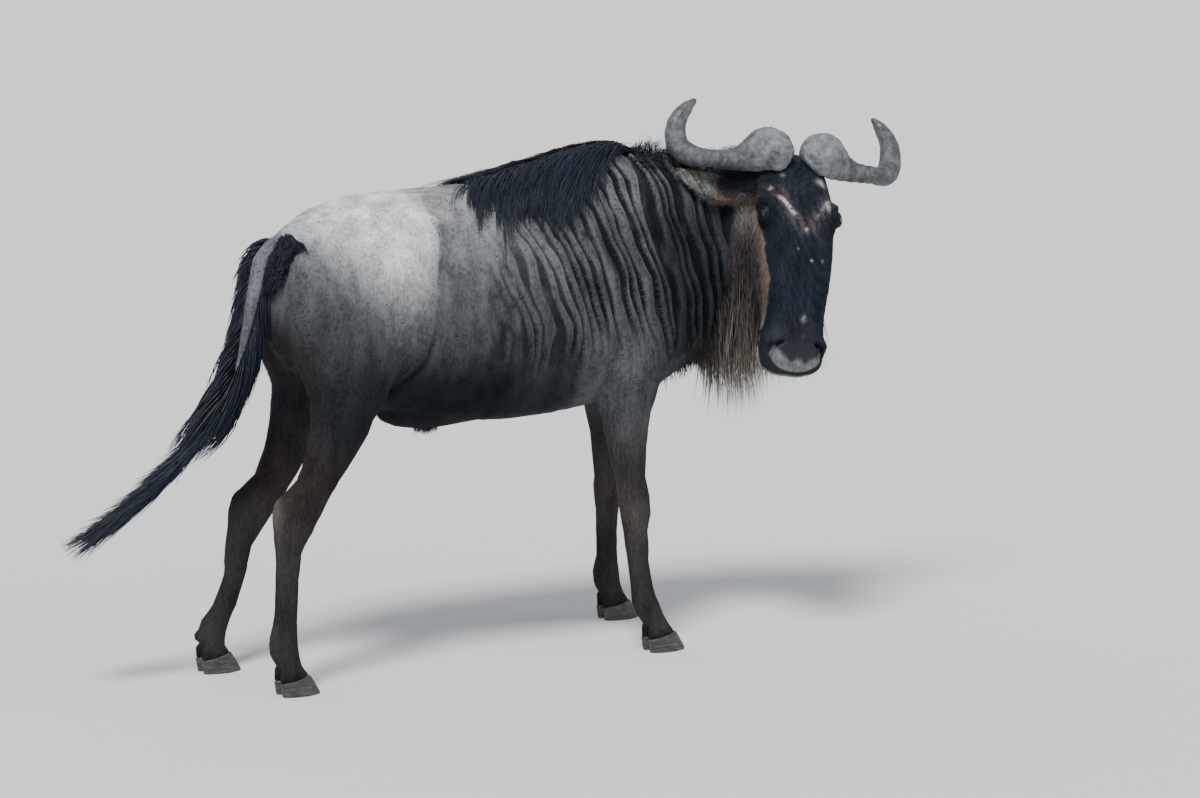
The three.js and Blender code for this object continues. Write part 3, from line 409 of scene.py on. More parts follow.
def nearNode(points, nodes, reach):  # 1 on the surface of a node, 0 at reach from it
    spots = []
    for node in nodes:
        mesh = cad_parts[node].data
        mesh.calc_loop_triangles()
        vertices = readPoints(mesh)
        corners = np.empty(len(mesh.loop_triangles) * 3, int)
        mesh.loop_triangles.foreach_get("vertices", corners)
        faces = vertices[corners.reshape(-1, 3)]
        for a in range(5):
            for b in range(5 - a):
                share = np.array([a, b, 4 - a - b]) / 4
                spots.append(np.einsum("k,nkj->nj", share, faces))
    spots = np.concatenate(spots)
    tree = kdtree.KDTree(len(spots))
    for index, spot in enumerate(spots):
        tree.insert(spot, index)
    tree.balance()
    middle, size = spots.mean(0), np.abs(spots - spots.mean(0)).max() + 2 * reach
    result = np.zeros(len(points))
    for index in np.nonzero(np.abs(points - middle).max(1) < size)[0]:
        result[index] = max(0, 1 - tree.find(points[index])[2] / reach)
    return result


hide = copyNodes(fleshNodes, "hide")
modify(hide, "REMESH", mode="VOXEL", voxel_size=skinValues["voxel"])
print("skin remeshed", len(hide.data.vertices))

points = readPoints(hide.data)
stood = points - standOrigin
headPoints = toHead(points)
isHead = headShare(headPoints, (-0.03, 0.03), (-0.20, -0.14), 0.16)
isDock = nearNode(points, ["tail_dock"], 0.03) > 0.5
freedom = smooth(stood[:, 2], 0.60, 0.95)
freedom = 0.05 + 0.95 * freedom ** 1.5
muzzle = smooth(headPoints[:, 0], 0.47, 0.52)
freedom = freedom * (1 - isHead) + (0.95 - 0.75 * muzzle) * isHead
under = (np.abs(stood[:, 0] + 0.06) < 0.26) * (np.abs(stood[:, 1]) < 0.11) * (stood[:, 2] < 0.80)
freedom = np.maximum(freedom, 0.8 * under)
freedom[isDock] = 0.08
weigh(hide, "freedom", freedom)
modify(hide, "SMOOTH", factor=0.5, iterations=skinValues["smoothing"], vertex_group="freedom")
print("skin smoothed")

eyeCentres = fromHead([[eyeValues["h"], side * eyeValues["s"], eyeValues["d"]] for side in (1, -1)])
nostrilCentres = fromHead([
    [nostrilValues["h"], nostrilValues["side"] + side * (nostrilValues["s"] + 0.008), nostrilValues["d"] + 0.01]
    for side in (1, -1)
])
subdivideNear(hide, eyeCentres, 0.040)
subdivideNear(hide, np.concatenate([eyeCentres, nostrilCentres]), 0.030)


def sculptSkin(mesh):
    points = readPoints(mesh)
    normals = readPoints(mesh, "normal")
    p = points - standOrigin
    x, y, z = p[:, 0], p[:, 1], p[:, 2]
    h, s, d = toHead(points).T
    shift = np.zeros(len(points))
    onHead = smooth(h, 0.0, 0.06) * smooth(d, -0.19, -0.13) * fade(np.abs(s), 0.13, 0.15)
    # folds of the neck, shoulder and ribs stand between the dark stripes
    band = smooth(x, -0.05, 0.15) * smooth(z, 0.72, 0.86) * (1 - onHead)
    shift -= (0.0035 + 0.0030 * smooth(x, 0.25, 0.45)) * stripes(p) * band
    shift -= 0.009 * foldLines(p)
    # masses of the haunch, thigh, upper forearm, shoulder and belly, then the hollow of the flank
    apart = np.abs(y) > 0.05
    for middle, size, height in (
        ((-0.235, 1.05), (0.075, 0.15), 0.010), ((-0.33, 0.80), (0.10, 0.12), 0.012),
        ((0.36, 0.78), (0.085, 0.085), 0.014), ((0.34, 1.02), (0.10, 0.14), 0.008),
        ((-0.10, 0.80), (0.07, 0.06), 0.008),
    ):
        near = ((x - middle[0]) / size[0]) ** 2 + ((z - middle[1]) / size[1]) ** 2
        shift += height * np.exp(-near) * apart
    shift -= 0.010 * np.exp(-(((x + 0.13) / 0.06) ** 2) - ((z - 1.00) / 0.16) ** 2) * apart
    # small unevenness all over
    shift += 0.0012 * wave(p, 61, 0.09) + 0.0006 * wave(p, 62, 0.03)
    # face: the cheek ridge, and wrinkles above the nostrils
    ridge = bell(d - 0.012 + 0.06 * (h - 0.3), 0, 0.011) * smooth(h, 0.22, 0.27) * fade(h, 0.40, 0.46)
    shift += 0.0020 * ridge * onHead
    wrinkle = np.sin((h + 0.25 * np.abs(s + 0.011)) / 0.0065) * smooth(h, 0.478, 0.497) * fade(h, 0.525, 0.54)
    shift += 0.0009 * wrinkle * (d > -0.02) * onHead
    points = points + normals * shift[:, None]
    # mouth: a crease that runs round the muzzle, with the lips rounded beside it
    h, s, d = toHead(points).T
    crease = d - (mouthValues["d"] + 0.07 * (h - mouthValues["h"]))
    reach = smooth(h, 0.425, 0.455)
    push = -0.0085 * bell(crease, 0, 0.0032) + 0.0030 * bell(np.abs(crease), 0.010, 0.006)
    points = points + normals * (push * reach * onHead)[:, None]
    # eyes: the lids lie on the ball and part over it
    for side in (1, -1):
        centre = np.array([eyeValues["h"], side * eyeValues["s"], eyeValues["d"]])
        gaze, wide, tall = eyeAxes(side)
        local = toHead(points) - centre
        a, b, out = local @ wide, local @ tall, local @ gaze
        flat = np.hypot(a, b)
        almond = np.hypot(a / eyeValues["open"], b / (eyeValues["tall"] * (1 - 0.35 * (a / 0.02) ** 2).clip(0.4, 1)))
        inside = fade(almond, 0.92, 1.12) * (out > 0)
        dome = np.sqrt(np.maximum(0.0243 ** 2 - flat ** 2, 0))
        lid = fade(flat, 0.019, 0.042) * (out > -0.004)
        wanted = np.where(flat < 0.024, dome, out)
        rim = 0.0013 * bell(almond, 1.20, 0.15)
        upper = -local[:, 0] * 0.5 + local[:, 2] * 0.9 > 0
        fold = -0.0010 * bell(almond, 1.8, 0.2) * (0.3 + 0.7 * upper)
        brow = np.exp(-(((local[:, 0] + 0.034) / 0.009) ** 2) - ((local[:, 1] - 0.004 * side) / 0.030) ** 2)
        moved = lid * (wanted - out) + rim * lid + fold * (out > 0)
        moved = moved * (1 - inside) + inside * (np.minimum(out, 0.012) - out)
        points = points + ((moved * (flat < 0.05) + 0.0045 * brow * (out > -0.02))[:, None] * gaze) @ headAxes.T
    # nostrils: curved slits along the upper corners of the nose pad, with a raised wing outside
    h, s, d = toHead(points).T
    across, down, outward = onPad(h, s, d)
    slit = smooth(np.abs(across), 0.50, 0.72) * fade(down, -0.10, 0.30) * (h > 0.48) * onHead * (d > -0.05)
    push = -0.013 * bell(outward, 1.0, 0.075) + 0.0050 * bell(outward, 1.22, 0.12)
    pad = fade(outward, 0.85, 1.0) * onHead * (h > 0.49)
    push = push * slit + 0.0020 * pad
    groove = bell(across, 0, 0.05) * pad * smooth(down, 0.0, 0.5)
    points = points + normals * (push - 0.0018 * groove)[:, None]
    writePoints(mesh, points)


sculptSkin(hide.data)
modify(hide, "SMOOTH", factor=0.35, iterations=1)
clearWeights(hide)
points = readPoints(hide.data)
headPoints = toHead(points)
isHead = headShare(headPoints, (-0.05, 0.03), (-0.20, -0.14), 0.15)
weigh(hide, "keep", 1 - 0.85 * isHead)
faceCount = thinTo(hide, skinValues["most"], vertex_group="keep", vertex_group_factor=0.6)
clearWeights(hide)
bpy.ops.object.shade_smooth()
print("skin decimated from", faceCount, "to", len(hide.data.polygons))

bpy.ops.object.mode_set(mode="EDIT")
bpy.ops.mesh.select_all(action="SELECT")
bpy.ops.uv.smart_project(angle_limit=math.radians(66), island_margin=0.001)
bpy.ops.object.mode_set(mode="OBJECT")
hide.data.uv_layers[0].name = "skinMap"
print("skin unwrapped")

points = readPoints(hide.data)
earShare = nearNode(points, ["ear_right", "ear_left"], 0.012) > 0
dockShare = nearNode(points, ["tail_dock"], 0.012) > 0.2
skinColours = markingsAndPaintedLight(points)
normals = readPoints(hide.data, "normal")
earValues = {  # root and tip
    "right": ((0.116, -0.084, 0.0), (0.058, -0.326, -0.026)),
    "left": ((0.066, 0.084, -0.024), (0.058, 0.148, -0.232)),
}


def onEar(points):  # share from root to tip, how far to the lower edge, which ear
    local = toHead(points)
    side = np.where(local[:, 1] < 0, 0, 1)
    roots = np.array([earValues["right"][0], earValues["left"][0]])[side]
    ways = np.array([earValues["right"][1], earValues["left"][1]])[side] - roots
    long = np.linalg.norm(ways, axis=1)
    share = ((local - roots) * ways).sum(1) / long ** 2
    off = local - roots - share[:, None] * ways
    return share, off[:, 0] - 0.3 * off[:, 2], side


earFacing = (normals @ headAxes)[:, 2]
earAlong, earLow = onEar(points)[:2]
inner = smooth(earFacing, -0.60, -0.20)
earTone = np.tile(np.array(hideColours["brown"]) * 1.6, (len(points), 1))
earTone = mix(earTone, "temple", 0.25 + 0.55 * smooth(earAlong, 0.45, 0.7))
earTone = mix(earTone, "earInside", inner * smooth(earAlong, 0.30, 0.46) * (0.90 + 0.10 * wave(points, 35, 0.03)))
# black on the inner face at the root, away from the lower edge: dark hair, with the horn's shadow painted in
earTone = mix(earTone, "black", inner * fade(earAlong, 0.40, 0.58) * fade(earLow, 0.006, 0.022) * 0.93)
earTone = mix(earTone, "earEdge", smooth(earLow, 0.016, 0.030) * fade(earAlong, 0.42, 0.56))
skinColours = np.where(earShare[:, None], earTone, skinColours)
dockTone = np.array(hideColours["dock"]) * (1 + 0.35 * wave(points, 36, 0.009))[:, None]
skinColours = np.where(dockShare[:, None], dockTone, skinColours)
writeColour(hide.data, "tone", skinColours)
h, s, d = toHead(points).T
wetness = fade(onPad(h, s, d)[2], 0.92, 1.10) * (h > 0.48) * (h < 0.62)
lids = np.minimum(*[np.linalg.norm(points - centre, axis=1) for centre in eyeCentres]) < 0.0262
wetness = np.maximum(wetness, lids * 0.6)
writeColour(hide.data, "wet", np.stack([wetness] * 3, 1))


# Materials
def newMaterial(name):
    material = bpy.data.materials.new(name)
    material.use_nodes = True
    tree = material.node_tree
    shader = tree.nodes["Principled BSDF"]
    return material, tree, shader


def addNode(tree, kind, **values):
    node = tree.nodes.new(kind)
    for name, value in values.items():
        if name in node.inputs:
            node.inputs[name].default_value = value
        else:
            setattr(node, name, value)
    return node


def colourRamp(tree, source, stops):
    ramp = tree.nodes.new("ShaderNodeValToRGB")
    while len(ramp.color_ramp.elements) < len(stops):
        ramp.color_ramp.elements.new(0.5)
    for element, (place, colour) in zip(ramp.color_ramp.elements, stops):
        element.position = place
        element.color = (*colour, 1) if len(colour) == 3 else colour
    tree.links.new(source, ramp.inputs[0])
    return ramp


def grainGroup():  # fine fur grain: a mask and a height from two stretched noises
    group = bpy.data.node_groups.new("furGrain", "ShaderNodeTree")
    for name, kind, where in (
        ("Vector", "NodeSocketVector", "INPUT"), ("Scale", "NodeSocketFloat", "INPUT"),
        ("Mask", "NodeSocketFloat", "OUTPUT"), ("Height", "NodeSocketFloat", "OUTPUT"),
    ):
        group.interface.new_socket(name=name, in_out=where, socket_type=kind)
    start = group.nodes.new("NodeGroupInput")
    end = group.nodes.new("NodeGroupOutput")
    fine = addNode(group, "ShaderNodeTexNoise", Detail=3.0, Roughness=0.6)
    broad = addNode(group, "ShaderNodeTexNoise", Detail=2.0, Roughness=0.5)
    tenth = addNode(group, "ShaderNodeMath", operation="MULTIPLY")
    tenth.inputs[1].default_value = 0.12
    group.links.new(start.outputs["Vector"], fine.inputs["Vector"])
    group.links.new(start.outputs["Vector"], broad.inputs["Vector"])
    group.links.new(start.outputs["Scale"], fine.inputs["Scale"])
    group.links.new(start.outputs["Scale"], tenth.inputs[0])
    group.links.new(tenth.outputs[0], broad.inputs["Scale"])
    total = addNode(group, "ShaderNodeMath", operation="ADD")
    half = addNode(group, "ShaderNodeMath", operation="MULTIPLY")
    half.inputs[1].default_value = 0.5
    group.links.new(fine.outputs["Fac"], total.inputs[0])
    group.links.new(broad.outputs["Fac"], total.inputs[1])
    group.links.new(total.outputs[0], half.inputs[0])
    group.links.new(half.outputs[0], end.inputs["Mask"])
    group.links.new(fine.outputs["Fac"], end.inputs["Height"])
    return group


furGrain = grainGroup()


def furMaterial(name, attribute, roughness, shine, contrast, bump, stretch=(1, 1, 0.3), scale=260):
    material, tree, shader = newMaterial(name)
    tone = addNode(tree, "ShaderNodeVertexColor", layer_name=attribute)
    place = addNode(tree, "ShaderNodeTexCoord")
    mapping = addNode(tree, "ShaderNodeMapping", Scale=stretch)
    tree.links.new(place.outputs["Object"], mapping.inputs["Vector"])
    grain = addNode(tree, "ShaderNodeGroup", node_tree=furGrain)
    grain.inputs["Scale"].default_value = scale
    tree.links.new(mapping.outputs["Vector"], grain.inputs["Vector"])
    light = addNode(tree, "ShaderNodeMapRange")
    light.inputs["From Min"].default_value = 0.35
    light.inputs["From Max"].default_value = 0.65
    light.inputs["To Min"].default_value = 1 - contrast
    light.inputs["To Max"].default_value = 1 + contrast
    tree.links.new(grain.outputs["Mask"], light.inputs["Value"])
    shade = addNode(tree, "ShaderNodeVectorMath", operation="SCALE")
    tree.links.new(tone.outputs["Color"], shade.inputs[0])
    tree.links.new(light.outputs["Result"], shade.inputs["Scale"])
    tree.links.new(shade.outputs[0], shader.inputs["Base Color"])
    height = addNode(tree, "ShaderNodeBump", Strength=bump, Distance=0.002)
    tree.links.new(grain.outputs["Height"], height.inputs["Height"])
    tree.links.new(height.outputs["Normal"], shader.inputs["Normal"])
    shader.inputs["Roughness"].default_value = roughness
    shader.inputs["Specular IOR Level"].default_value = shine
    return material, tree, shader


skinFinish, skinTree, skinShader = furMaterial("hideShort", "tone", 0.75, 0.06, 0.50, 0.45, (1, 1, 0.35), 190)
wet = addNode(skinTree, "ShaderNodeVertexColor", layer_name="wet")
wetParts = addNode(skinTree, "ShaderNodeSeparateColor")
skinTree.links.new(wet.outputs["Color"], wetParts.inputs[0])
for target, dry, moist in (("Roughness", 0.75, 0.34), ("Specular IOR Level", 0.06, 0.20)):
    blend = addNode(skinTree, "ShaderNodeMapRange")
    blend.inputs["To Min"].default_value = dry
    blend.inputs["To Max"].default_value = moist
    skinTree.links.new(wetParts.outputs["Red"], blend.inputs["Value"])
    skinTree.links.new(blend.outputs["Result"], skinShader.inputs[target])
coatFinish = furMaterial("hideTufts", "tone", 0.60, 0.12, 0.25, 0.0)[0]
faceFinish = furMaterial("faceTufts", "tone", 0.42, 0.40, 0.25, 0.0)[0]
longFinish = furMaterial("hairLong", "tone", 0.40, 0.28, 0.20, 0.0, (1, 1, 1), 180)[0]

hide.data.materials.append(skinFinish)
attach(hide, "root")
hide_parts(*fleshNodes)
print("skin finished")


# Roots of hair: points spread over the skin, each with its normal and its place on the unwrap
skinMesh = hide.data
skinMesh.calc_loop_triangles()
triangleCorners = np.empty(len(skinMesh.loop_triangles) * 3, int)
skinMesh.loop_triangles.foreach_get("vertices", triangleCorners)
triangleCorners = triangleCorners.reshape(-1, 3)
triangleLoops = np.empty(len(skinMesh.loop_triangles) * 3, int)
skinMesh.loop_triangles.foreach_get("loops", triangleLoops)
triangleLoops = triangleLoops.reshape(-1, 3)
unwrap = np.empty(len(skinMesh.loops) * 2)
skinMesh.uv_layers["skinMap"].data.foreach_get("uv", unwrap)
unwrap = unwrap.reshape(-1, 2)
skinPoints = readPoints(skinMesh)
skinNormals = readPoints(skinMesh, "normal")
trianglePoints = skinPoints[triangleCorners]
triangleAreas = np.linalg.norm(
    np.cross(trianglePoints[:, 1] - trianglePoints[:, 0], trianglePoints[:, 2] - trianglePoints[:, 0]), axis=1
) / 2
triangleMiddles = trianglePoints.mean(1)
earTriangles = earShare[triangleCorners].any(1)
dockTriangles = dockShare[triangleCorners].any(1)


def sowRoots(count, density, seed):
    chance = np.random.default_rng(seed)
    weights = triangleAreas * density
    picked = chance.choice(len(weights), count, p=weights / weights.sum())
    a, b = chance.random(count), chance.random(count)
    over = a + b > 1
    a[over], b[over] = 1 - a[over], 1 - b[over]
    shares = np.stack([1 - a - b, a, b], 1)
    corners = triangleCorners[picked]
    roots = np.einsum("nk,nkj->nj", shares, skinPoints[corners])
    out = unit(np.einsum("nk,nkj->nj", shares, skinNormals[corners]))
    flat = np.einsum("nk,nkj->nj", shares, unwrap[triangleLoops[picked]])
    colours = np.einsum("nk,nkj->nj", shares, skinColours[corners])
    frayed = markingsAndPaintedLight(roots + chance.normal(0, 0.0025, roots.shape))
    other = (earTriangles | dockTriangles)[picked]
    colours = np.where(other[:, None], colours, 0.5 * (colours + frayed))
    return roots, out, flat, colours, chance


def bent(roots, start, end, lengths, rings):  # the middle line of each lock, which bends once
    reach = lengths[:, None]
    middle = roots + start * reach * 0.5
    tip = middle + end * reach * 0.5
    shares = np.linspace(0, 1, rings + 1)
    return np.stack([roots * (1 - u) ** 2 + middle * 2 * u * (1 - u) + tip * u * u for u in shares], 1)


def growHair(name, paths, facing, widths, flat, rootColours, tipColours, thick=0.3, taper=0.8, turn=1.0):
    count, rings = len(paths), paths.shape[1] - 1
    verts = np.empty((count, rings * 3 + 1, 3))
    tones = np.empty((count, rings * 3 + 1, 3))
    spots = np.empty((count, rings * 3 + 1, 2))
    for ring in range(rings):
        u = ring / rings
        centre = paths[:, ring]
        along = unit(paths[:, ring + 1] - paths[:, max(ring - 1, 0)])
        side = unit(np.cross(along, facing))
        up = np.cross(side, along)
        wide = (widths * (1 - u) ** taper * (0.75 + 0.5 * min(1, u * 4)) / 2)[:, None]
        verts[:, ring * 3] = centre + side * wide
        verts[:, ring * 3 + 1] = centre - side * wide
        verts[:, ring * 3 + 2] = centre + up * wide * 2 * thick
        tone = u ** turn
        tones[:, ring * 3 : ring * 3 + 3] = (rootColours * (1 - tone) + tipColours * tone)[:, None]
        for corner, (du, dv) in enumerate(((0, -0.0015), (0, 0.0015), (0.0006, 0))):
            spots[:, ring * 3 + corner] = flat + np.array([0.003 * (u - 0.5) + du, dv])
    verts[:, -1] = paths[:, -1]
    tones[:, -1] = tipColours
    spots[:, -1] = flat + np.array([0.0015, 0])
    faces = [(0, 1, 2)]
    for ring in range(rings - 1):
        for a, b in ((0, 2), (2, 1), (1, 0)):
            lowA, lowB = ring * 3 + a, ring * 3 + b
            faces += [(lowA, lowB, lowB + 3), (lowA, lowB + 3, lowA + 3)]
    last = (rings - 1) * 3
    faces += [(last + a, last + b, rings * 3) for a, b in ((0, 2), (2, 1), (1, 0))]
    faces = np.array(faces)
    corners = (faces[None] + (np.arange(count) * (rings * 3 + 1))[:, None, None]).reshape(-1)
    mesh = bpy.data.meshes.new(name)
    mesh.vertices.add(count * (rings * 3 + 1))
    mesh.vertices.foreach_set("co", verts.ravel())
    mesh.loops.add(len(corners))
    mesh.loops.foreach_set("vertex_index", corners.astype(np.int32))
    mesh.polygons.add(len(corners) // 3)
    mesh.polygons.foreach_set("loop_start", np.arange(0, len(corners), 3, dtype=np.int32))
    mesh.update(calc_edges=True)
    layer = mesh.uv_layers.new(name="OFBake")
    layer.data.foreach_set("uv", np.clip(spots.reshape(-1, 2)[corners], 0, 1).ravel())
    writeColour(mesh, "tone", np.clip(tones.reshape(-1, 3), 0, 1))
    mesh.polygons.foreach_set("use_smooth", np.ones(len(mesh.polygons), bool))
    mesh.update()
    piece = bpy.data.objects.new(name, mesh)
    bpy.context.scene.collection.objects.link(piece)
    print(name, len(mesh.polygons))
    return piece


def settle(piece, finish, slot, *nodes):
    piece.data.materials.append(finish)
    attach(piece, "root")
    if nodes:
        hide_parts(*nodes)


def lieOf(points, out):  # which way the short coat lies
    p = points - standOrigin
    x, z = p[:, 0], p[:, 2]
    h, s, d = toHead(points).T
    legs = fade(z, 0.55, 0.80)
    lie = np.stack([-1 + 0.8 * legs, np.zeros(len(x)), -0.35 - 0.8 * legs - 0.5 * smooth(x, 0.5, 0.75)], 1)
    neck = smooth(x, 0.60, 0.76)
    lie += neck[:, None] * np.array([0.2, 0.5, -0.6])
    onHead = smooth(h, -0.02, 0.04) * smooth(d, -0.19, -0.13) * fade(np.abs(s), 0.13, 0.15)
    down, aside = headAxes @ np.array([1.0, 0, 0]), headAxes @ np.array([0, 1.0, 0])
    lie = lie * (1 - onHead)[:, None] + (down + 0.25 * (s / 0.1)[:, None] * aside) * onHead[:, None]
    lie -= out * (lie * out).sum(1, keepdims=True)
    return unit(lie)


def shortCoat(name, count, density, length, width, lift, seed, rings=1):
    roots, out, flat, colours, chance = sowRoots(count, density, seed)
    lie = lieOf(roots, out)
    side = np.cross(out, lie)
    lie = unit(lie + side * chance.normal(0, 0.16, (count, 1)))
    lengths = length * chance.uniform(0.7, 1.25, count)
    start = unit(lie + out * lift * chance.uniform(0.6, 1.4, (count, 1)))
    end = unit(lie + out * 0.05)
    shade = chance.uniform(0.45, 1.25, (count, 1)) ** 1.5 + 0.15
    paths = bent(roots - out * 0.0012, start, end, lengths, rings)
    widths = width * chance.uniform(0.7, 1.3, count)
    return growHair(name, paths, out, widths, flat, colours * shade, colours * 1.2 * shade)


middles = triangleMiddles - standOrigin
headMiddles = toHead(triangleMiddles)
onHeadTriangles = headShare(headMiddles, (-0.02, 0.03), (-0.19, -0.13), 0.15)
eyeGap = np.minimum(*[np.linalg.norm(triangleMiddles - centre, axis=1) for centre in eyeCentres])
muzzleShare = smooth(headMiddles[:, 0], 0.49, 0.53)
plainBody = (1 - onHeadTriangles) * (1 - earTriangles) * smooth(middles[:, 2], 0.60, 0.70)
legShare = fade(middles[:, 2], 0.55, 0.70) * smooth(middles[:, 2], 0.05, 0.08) * (1 - onHeadTriangles)
legShare = legShare * (np.abs(middles[:, 0]) < 0.75) * (1 - dockTriangles)

coats = [
    ("coatRear", 34000, plainBody * (middles[:, 0] < -0.10), 0.015, 0.0021, 0.12, 101),
    ("coatRibs", 34000, plainBody * (middles[:, 0] >= -0.10) * (middles[:, 0] < 0.36), 0.015, 0.0020, 0.12, 102),
    ("coatNeck", 40000, plainBody * (middles[:, 0] >= 0.36), 0.017, 0.0019, 0.15, 105),
    ("coatLegs", 22000, legShare, 0.009, 0.0015, 0.12, 103),
]
for name, count, density, length, width, lift, seed in coats:
    settle(shortCoat(name, count, density, length, width, lift, seed), coatFinish, "hide")

faceHair = onHeadTriangles * smooth(eyeGap, 0.022, 0.034) * (1 - muzzleShare * 0.9)
settle(shortCoat("coatFace", 34000, faceHair, 0.011, 0.0013, 0.14, 104), faceFinish, "hide")


# Long hair
longHair = {
    "dark": (0.0075, 0.0105, 0.0160), "blue": (0.0190, 0.0285, 0.0450), "brown": (0.035, 0.026, 0.020),
    "cream": (0.56, 0.49, 0.39), "root": (0.036, 0.032, 0.031),
}


def locksFrom(
    name, count, density, seed, length, width, start, end, rootColour, tipColour,
    rings=5, pull=0.12, spread=0.15, thick=0.22, dull=0.0, turn=1.0, shortest=0.72,
):
    roots, out, flat, _, chance = sowRoots(count, density, seed)
    # locks share a lean, so that they fall in clumps
    clump = wave(roots, seed + 1, 0.05)[:, None] + 0.5 * wave(roots, seed + 2, 0.02)[:, None]
    side = unit(np.cross(out, np.array([0, 0, 1.0]) + 1e-3))
    startWay = unit(start(roots, out) + side * spread * clump + chance.normal(0, 0.10, (count, 3)))
    endWay = unit(end(roots, out) + side * spread * 1.5 * clump + chance.normal(0, pull, (count, 3)))
    lengths = length(roots) * chance.uniform(shortest, 1.12, count)
    shade = chance.uniform(0.6, 1.5, (count, 1))
    rootTone, tipTone = rootColour(roots) * shade, tipColour(roots) * shade
    tipTone = np.where(chance.random((count, 1)) < dull, rootTone * 1.3, tipTone)
    paths = bent(roots - out * 0.004, startWay, endWay, lengths, rings)
    widths = width * chance.uniform(0.6, 1.3, count)
    return growHair(name, paths, out, widths, flat, rootTone, tipTone, thick, 0.8, turn)


def darkAndBlue(shade):
    return np.array(longHair["dark"]) * shade, np.array(longHair["blue"]) * shade


def evenColour(name):
    return lambda roots: np.tile(np.array(longHair[name]), (len(roots), 1))


crestLine = np.array([
    (0.11, 0), (0.29, 0), (0.43, 0), (0.54, 0), (0.64, -0.01), (0.73, -0.038), (0.806, -0.082), (0.848, -0.128),
])


surface = bvhtree.BVHTree.FromPolygons(skinPoints.tolist(), triangleCorners.tolist())
crestSteps = np.linalg.norm(np.diff(crestLine, axis=0), axis=1)
crestStarts = np.concatenate([[0], np.cumsum(crestSteps)])
maneValues = {"locks": 5000, "clumps": 54, "rings": 6, "width": 0.0030, "axis": 1.0}
maneReach = np.array([  # where the longest hair ends that starts at a share of the crest: its share, and its angle
    (-0.02, -0.11, 6), (0.05, -0.19, 30), (0.12, -0.17, 47), (0.20, -0.09, 55), (0.30, 0.01, 46), (0.40, 0.06, 52),
    (0.54, 0.10, 58),
])


def crestAt(share):  # the place on the crest seen from above, and its direction
    far = share * crestStarts[-1]
    index = int(np.clip(np.searchsorted(crestStarts, far) - 1, 0, len(crestSteps) - 1))
    way = (crestLine[index + 1] - crestLine[index]) / crestSteps[index]
    return crestLine[index] + way * (far - crestStarts[index]), way


def onCrest(share, angle):  # the place on the skin at an angle from the top of the neck, and its normal
    place, way = crestAt(share)
    axis = Vector((place[0], place[1], maneValues["axis"])) + Vector(standOrigin)
    turn = math.radians(angle)
    ray = Vector((-way[1] * math.sin(turn), way[0] * math.sin(turn), math.cos(turn)))
    spot, normal = surface.ray_cast(axis + ray * 0.7, -ray)[:2]
    return np.array(spot), np.array(normal)


def growMane():
    chance = np.random.default_rng(201)
    count, clumps, rings = maneValues["locks"], maneValues["clumps"], maneValues["rings"]
    paths = np.empty((count, rings + 1, 3))
    facing = np.empty((count, 3))
    gathers = np.linspace(-0.01, 0.54, clumps) + chance.normal(0, 0.006, clumps)
    shifts = chance.normal(0, 1, (clumps, 2)) * (0.022, 8.0)
    shares = np.empty(count)
    for index in range(count):
        side = 1 if chance.random() < 0.40 else -1
        upright = chance.random() < 0.17
        clump = int(chance.integers(clumps))
        if upright:  # short hair of the neck's crest, longest behind the horns
            share = 0.50 + 0.44 * chance.random() ** 1.4
            angle, turn = chance.normal(0, 7), chance.normal(0, 5)
            back = -0.015 - 0.035 * chance.uniform(0, 1)
            tall = 0.016 + 0.052 * math.exp(-(((share - 0.59) / 0.05) ** 2)) * chance.random()
            tall *= chance.uniform(0.6, 1.1)
        else:
            share = gathers[clump] + chance.normal(0, 0.012)
            part = chance.uniform(0.35, 1.0) ** 0.7
            gather = 0.92 * part
            wanted = gathers[clump] * gather + share * (1 - gather)
            end = np.interp(wanted, maneReach[:, 0], maneReach[:, 1]) + shifts[clump, 0]
            turn = (np.interp(wanted, maneReach[:, 0], maneReach[:, 2]) + shifts[clump, 1]) * part
            turn *= 1 if side < 0 else 0.75
            back, angle = (share - end) * part, side * chance.uniform(0, 3.5)
            tall = 0.022 * chance.uniform(0.4, 1.1) * (0.3 + 0.7 * float(smooth(share, 0.0, 0.2)))
        shares[index] = share
        for ring in range(rings + 1):
            u = ring / rings
            if upright:
                spot, normal = onCrest(share - back * u ** 2, angle + turn * u)
                lift = tall * (1 - (1 - u) ** 1.6)
            else:
                spot, normal = onCrest(share - back * (1 - (1 - u) ** 1.55), angle + side * turn * u ** 2.0)
                lift = tall * math.sin(math.pi * min(1, 0.10 + u)) ** 0.8 + 0.004 + 0.005 * abs(chance.normal()) * u
            paths[index, ring] = spot + normal * (lift if ring else -0.004)
            if ring == rings // 2:
                facing[index] = normal
    flat = np.stack([0.10 + 0.85 * np.clip(shares, 0, 1), chance.uniform(0.03, 0.97, count)], 1)
    shade = chance.uniform(0.5, 1.7, (count, 1))
    widths = maneValues["width"] * chance.uniform(0.6, 1.3, count) * np.where(shares > 0.56, 0.6, 1)
    return growHair("maneLocks", paths, facing, widths, flat, *darkAndBlue(shade), 0.22)


settle(growMane(), longFinish, "long_hair", "mane")

# Beard, from the underside of the neck to the jaw, dark at the roots and cream at the tips
throat = smooth(middles[:, 0], 0.58, 0.72) * (middles[:, 2] < 1.14) * (onHeadTriangles < 0.5)
downward = -skinNormals[triangleCorners].mean(1)[:, 2]
underside = smooth(downward, 0.30 - 0.55 * smooth(middles[:, 0], 0.68, 0.78), 0.7)
beardDensity = throat * underside * (middles[:, 2] < 0.97 + 0.16 * smooth(middles[:, 0], 0.70, 0.78))


def beardLength(roots):
    p = roots - standOrigin
    return 0.040 + 0.225 * smooth(p[:, 0], 0.69, 0.78) - 0.13 * smooth(p[:, 2], 0.98, 1.08)


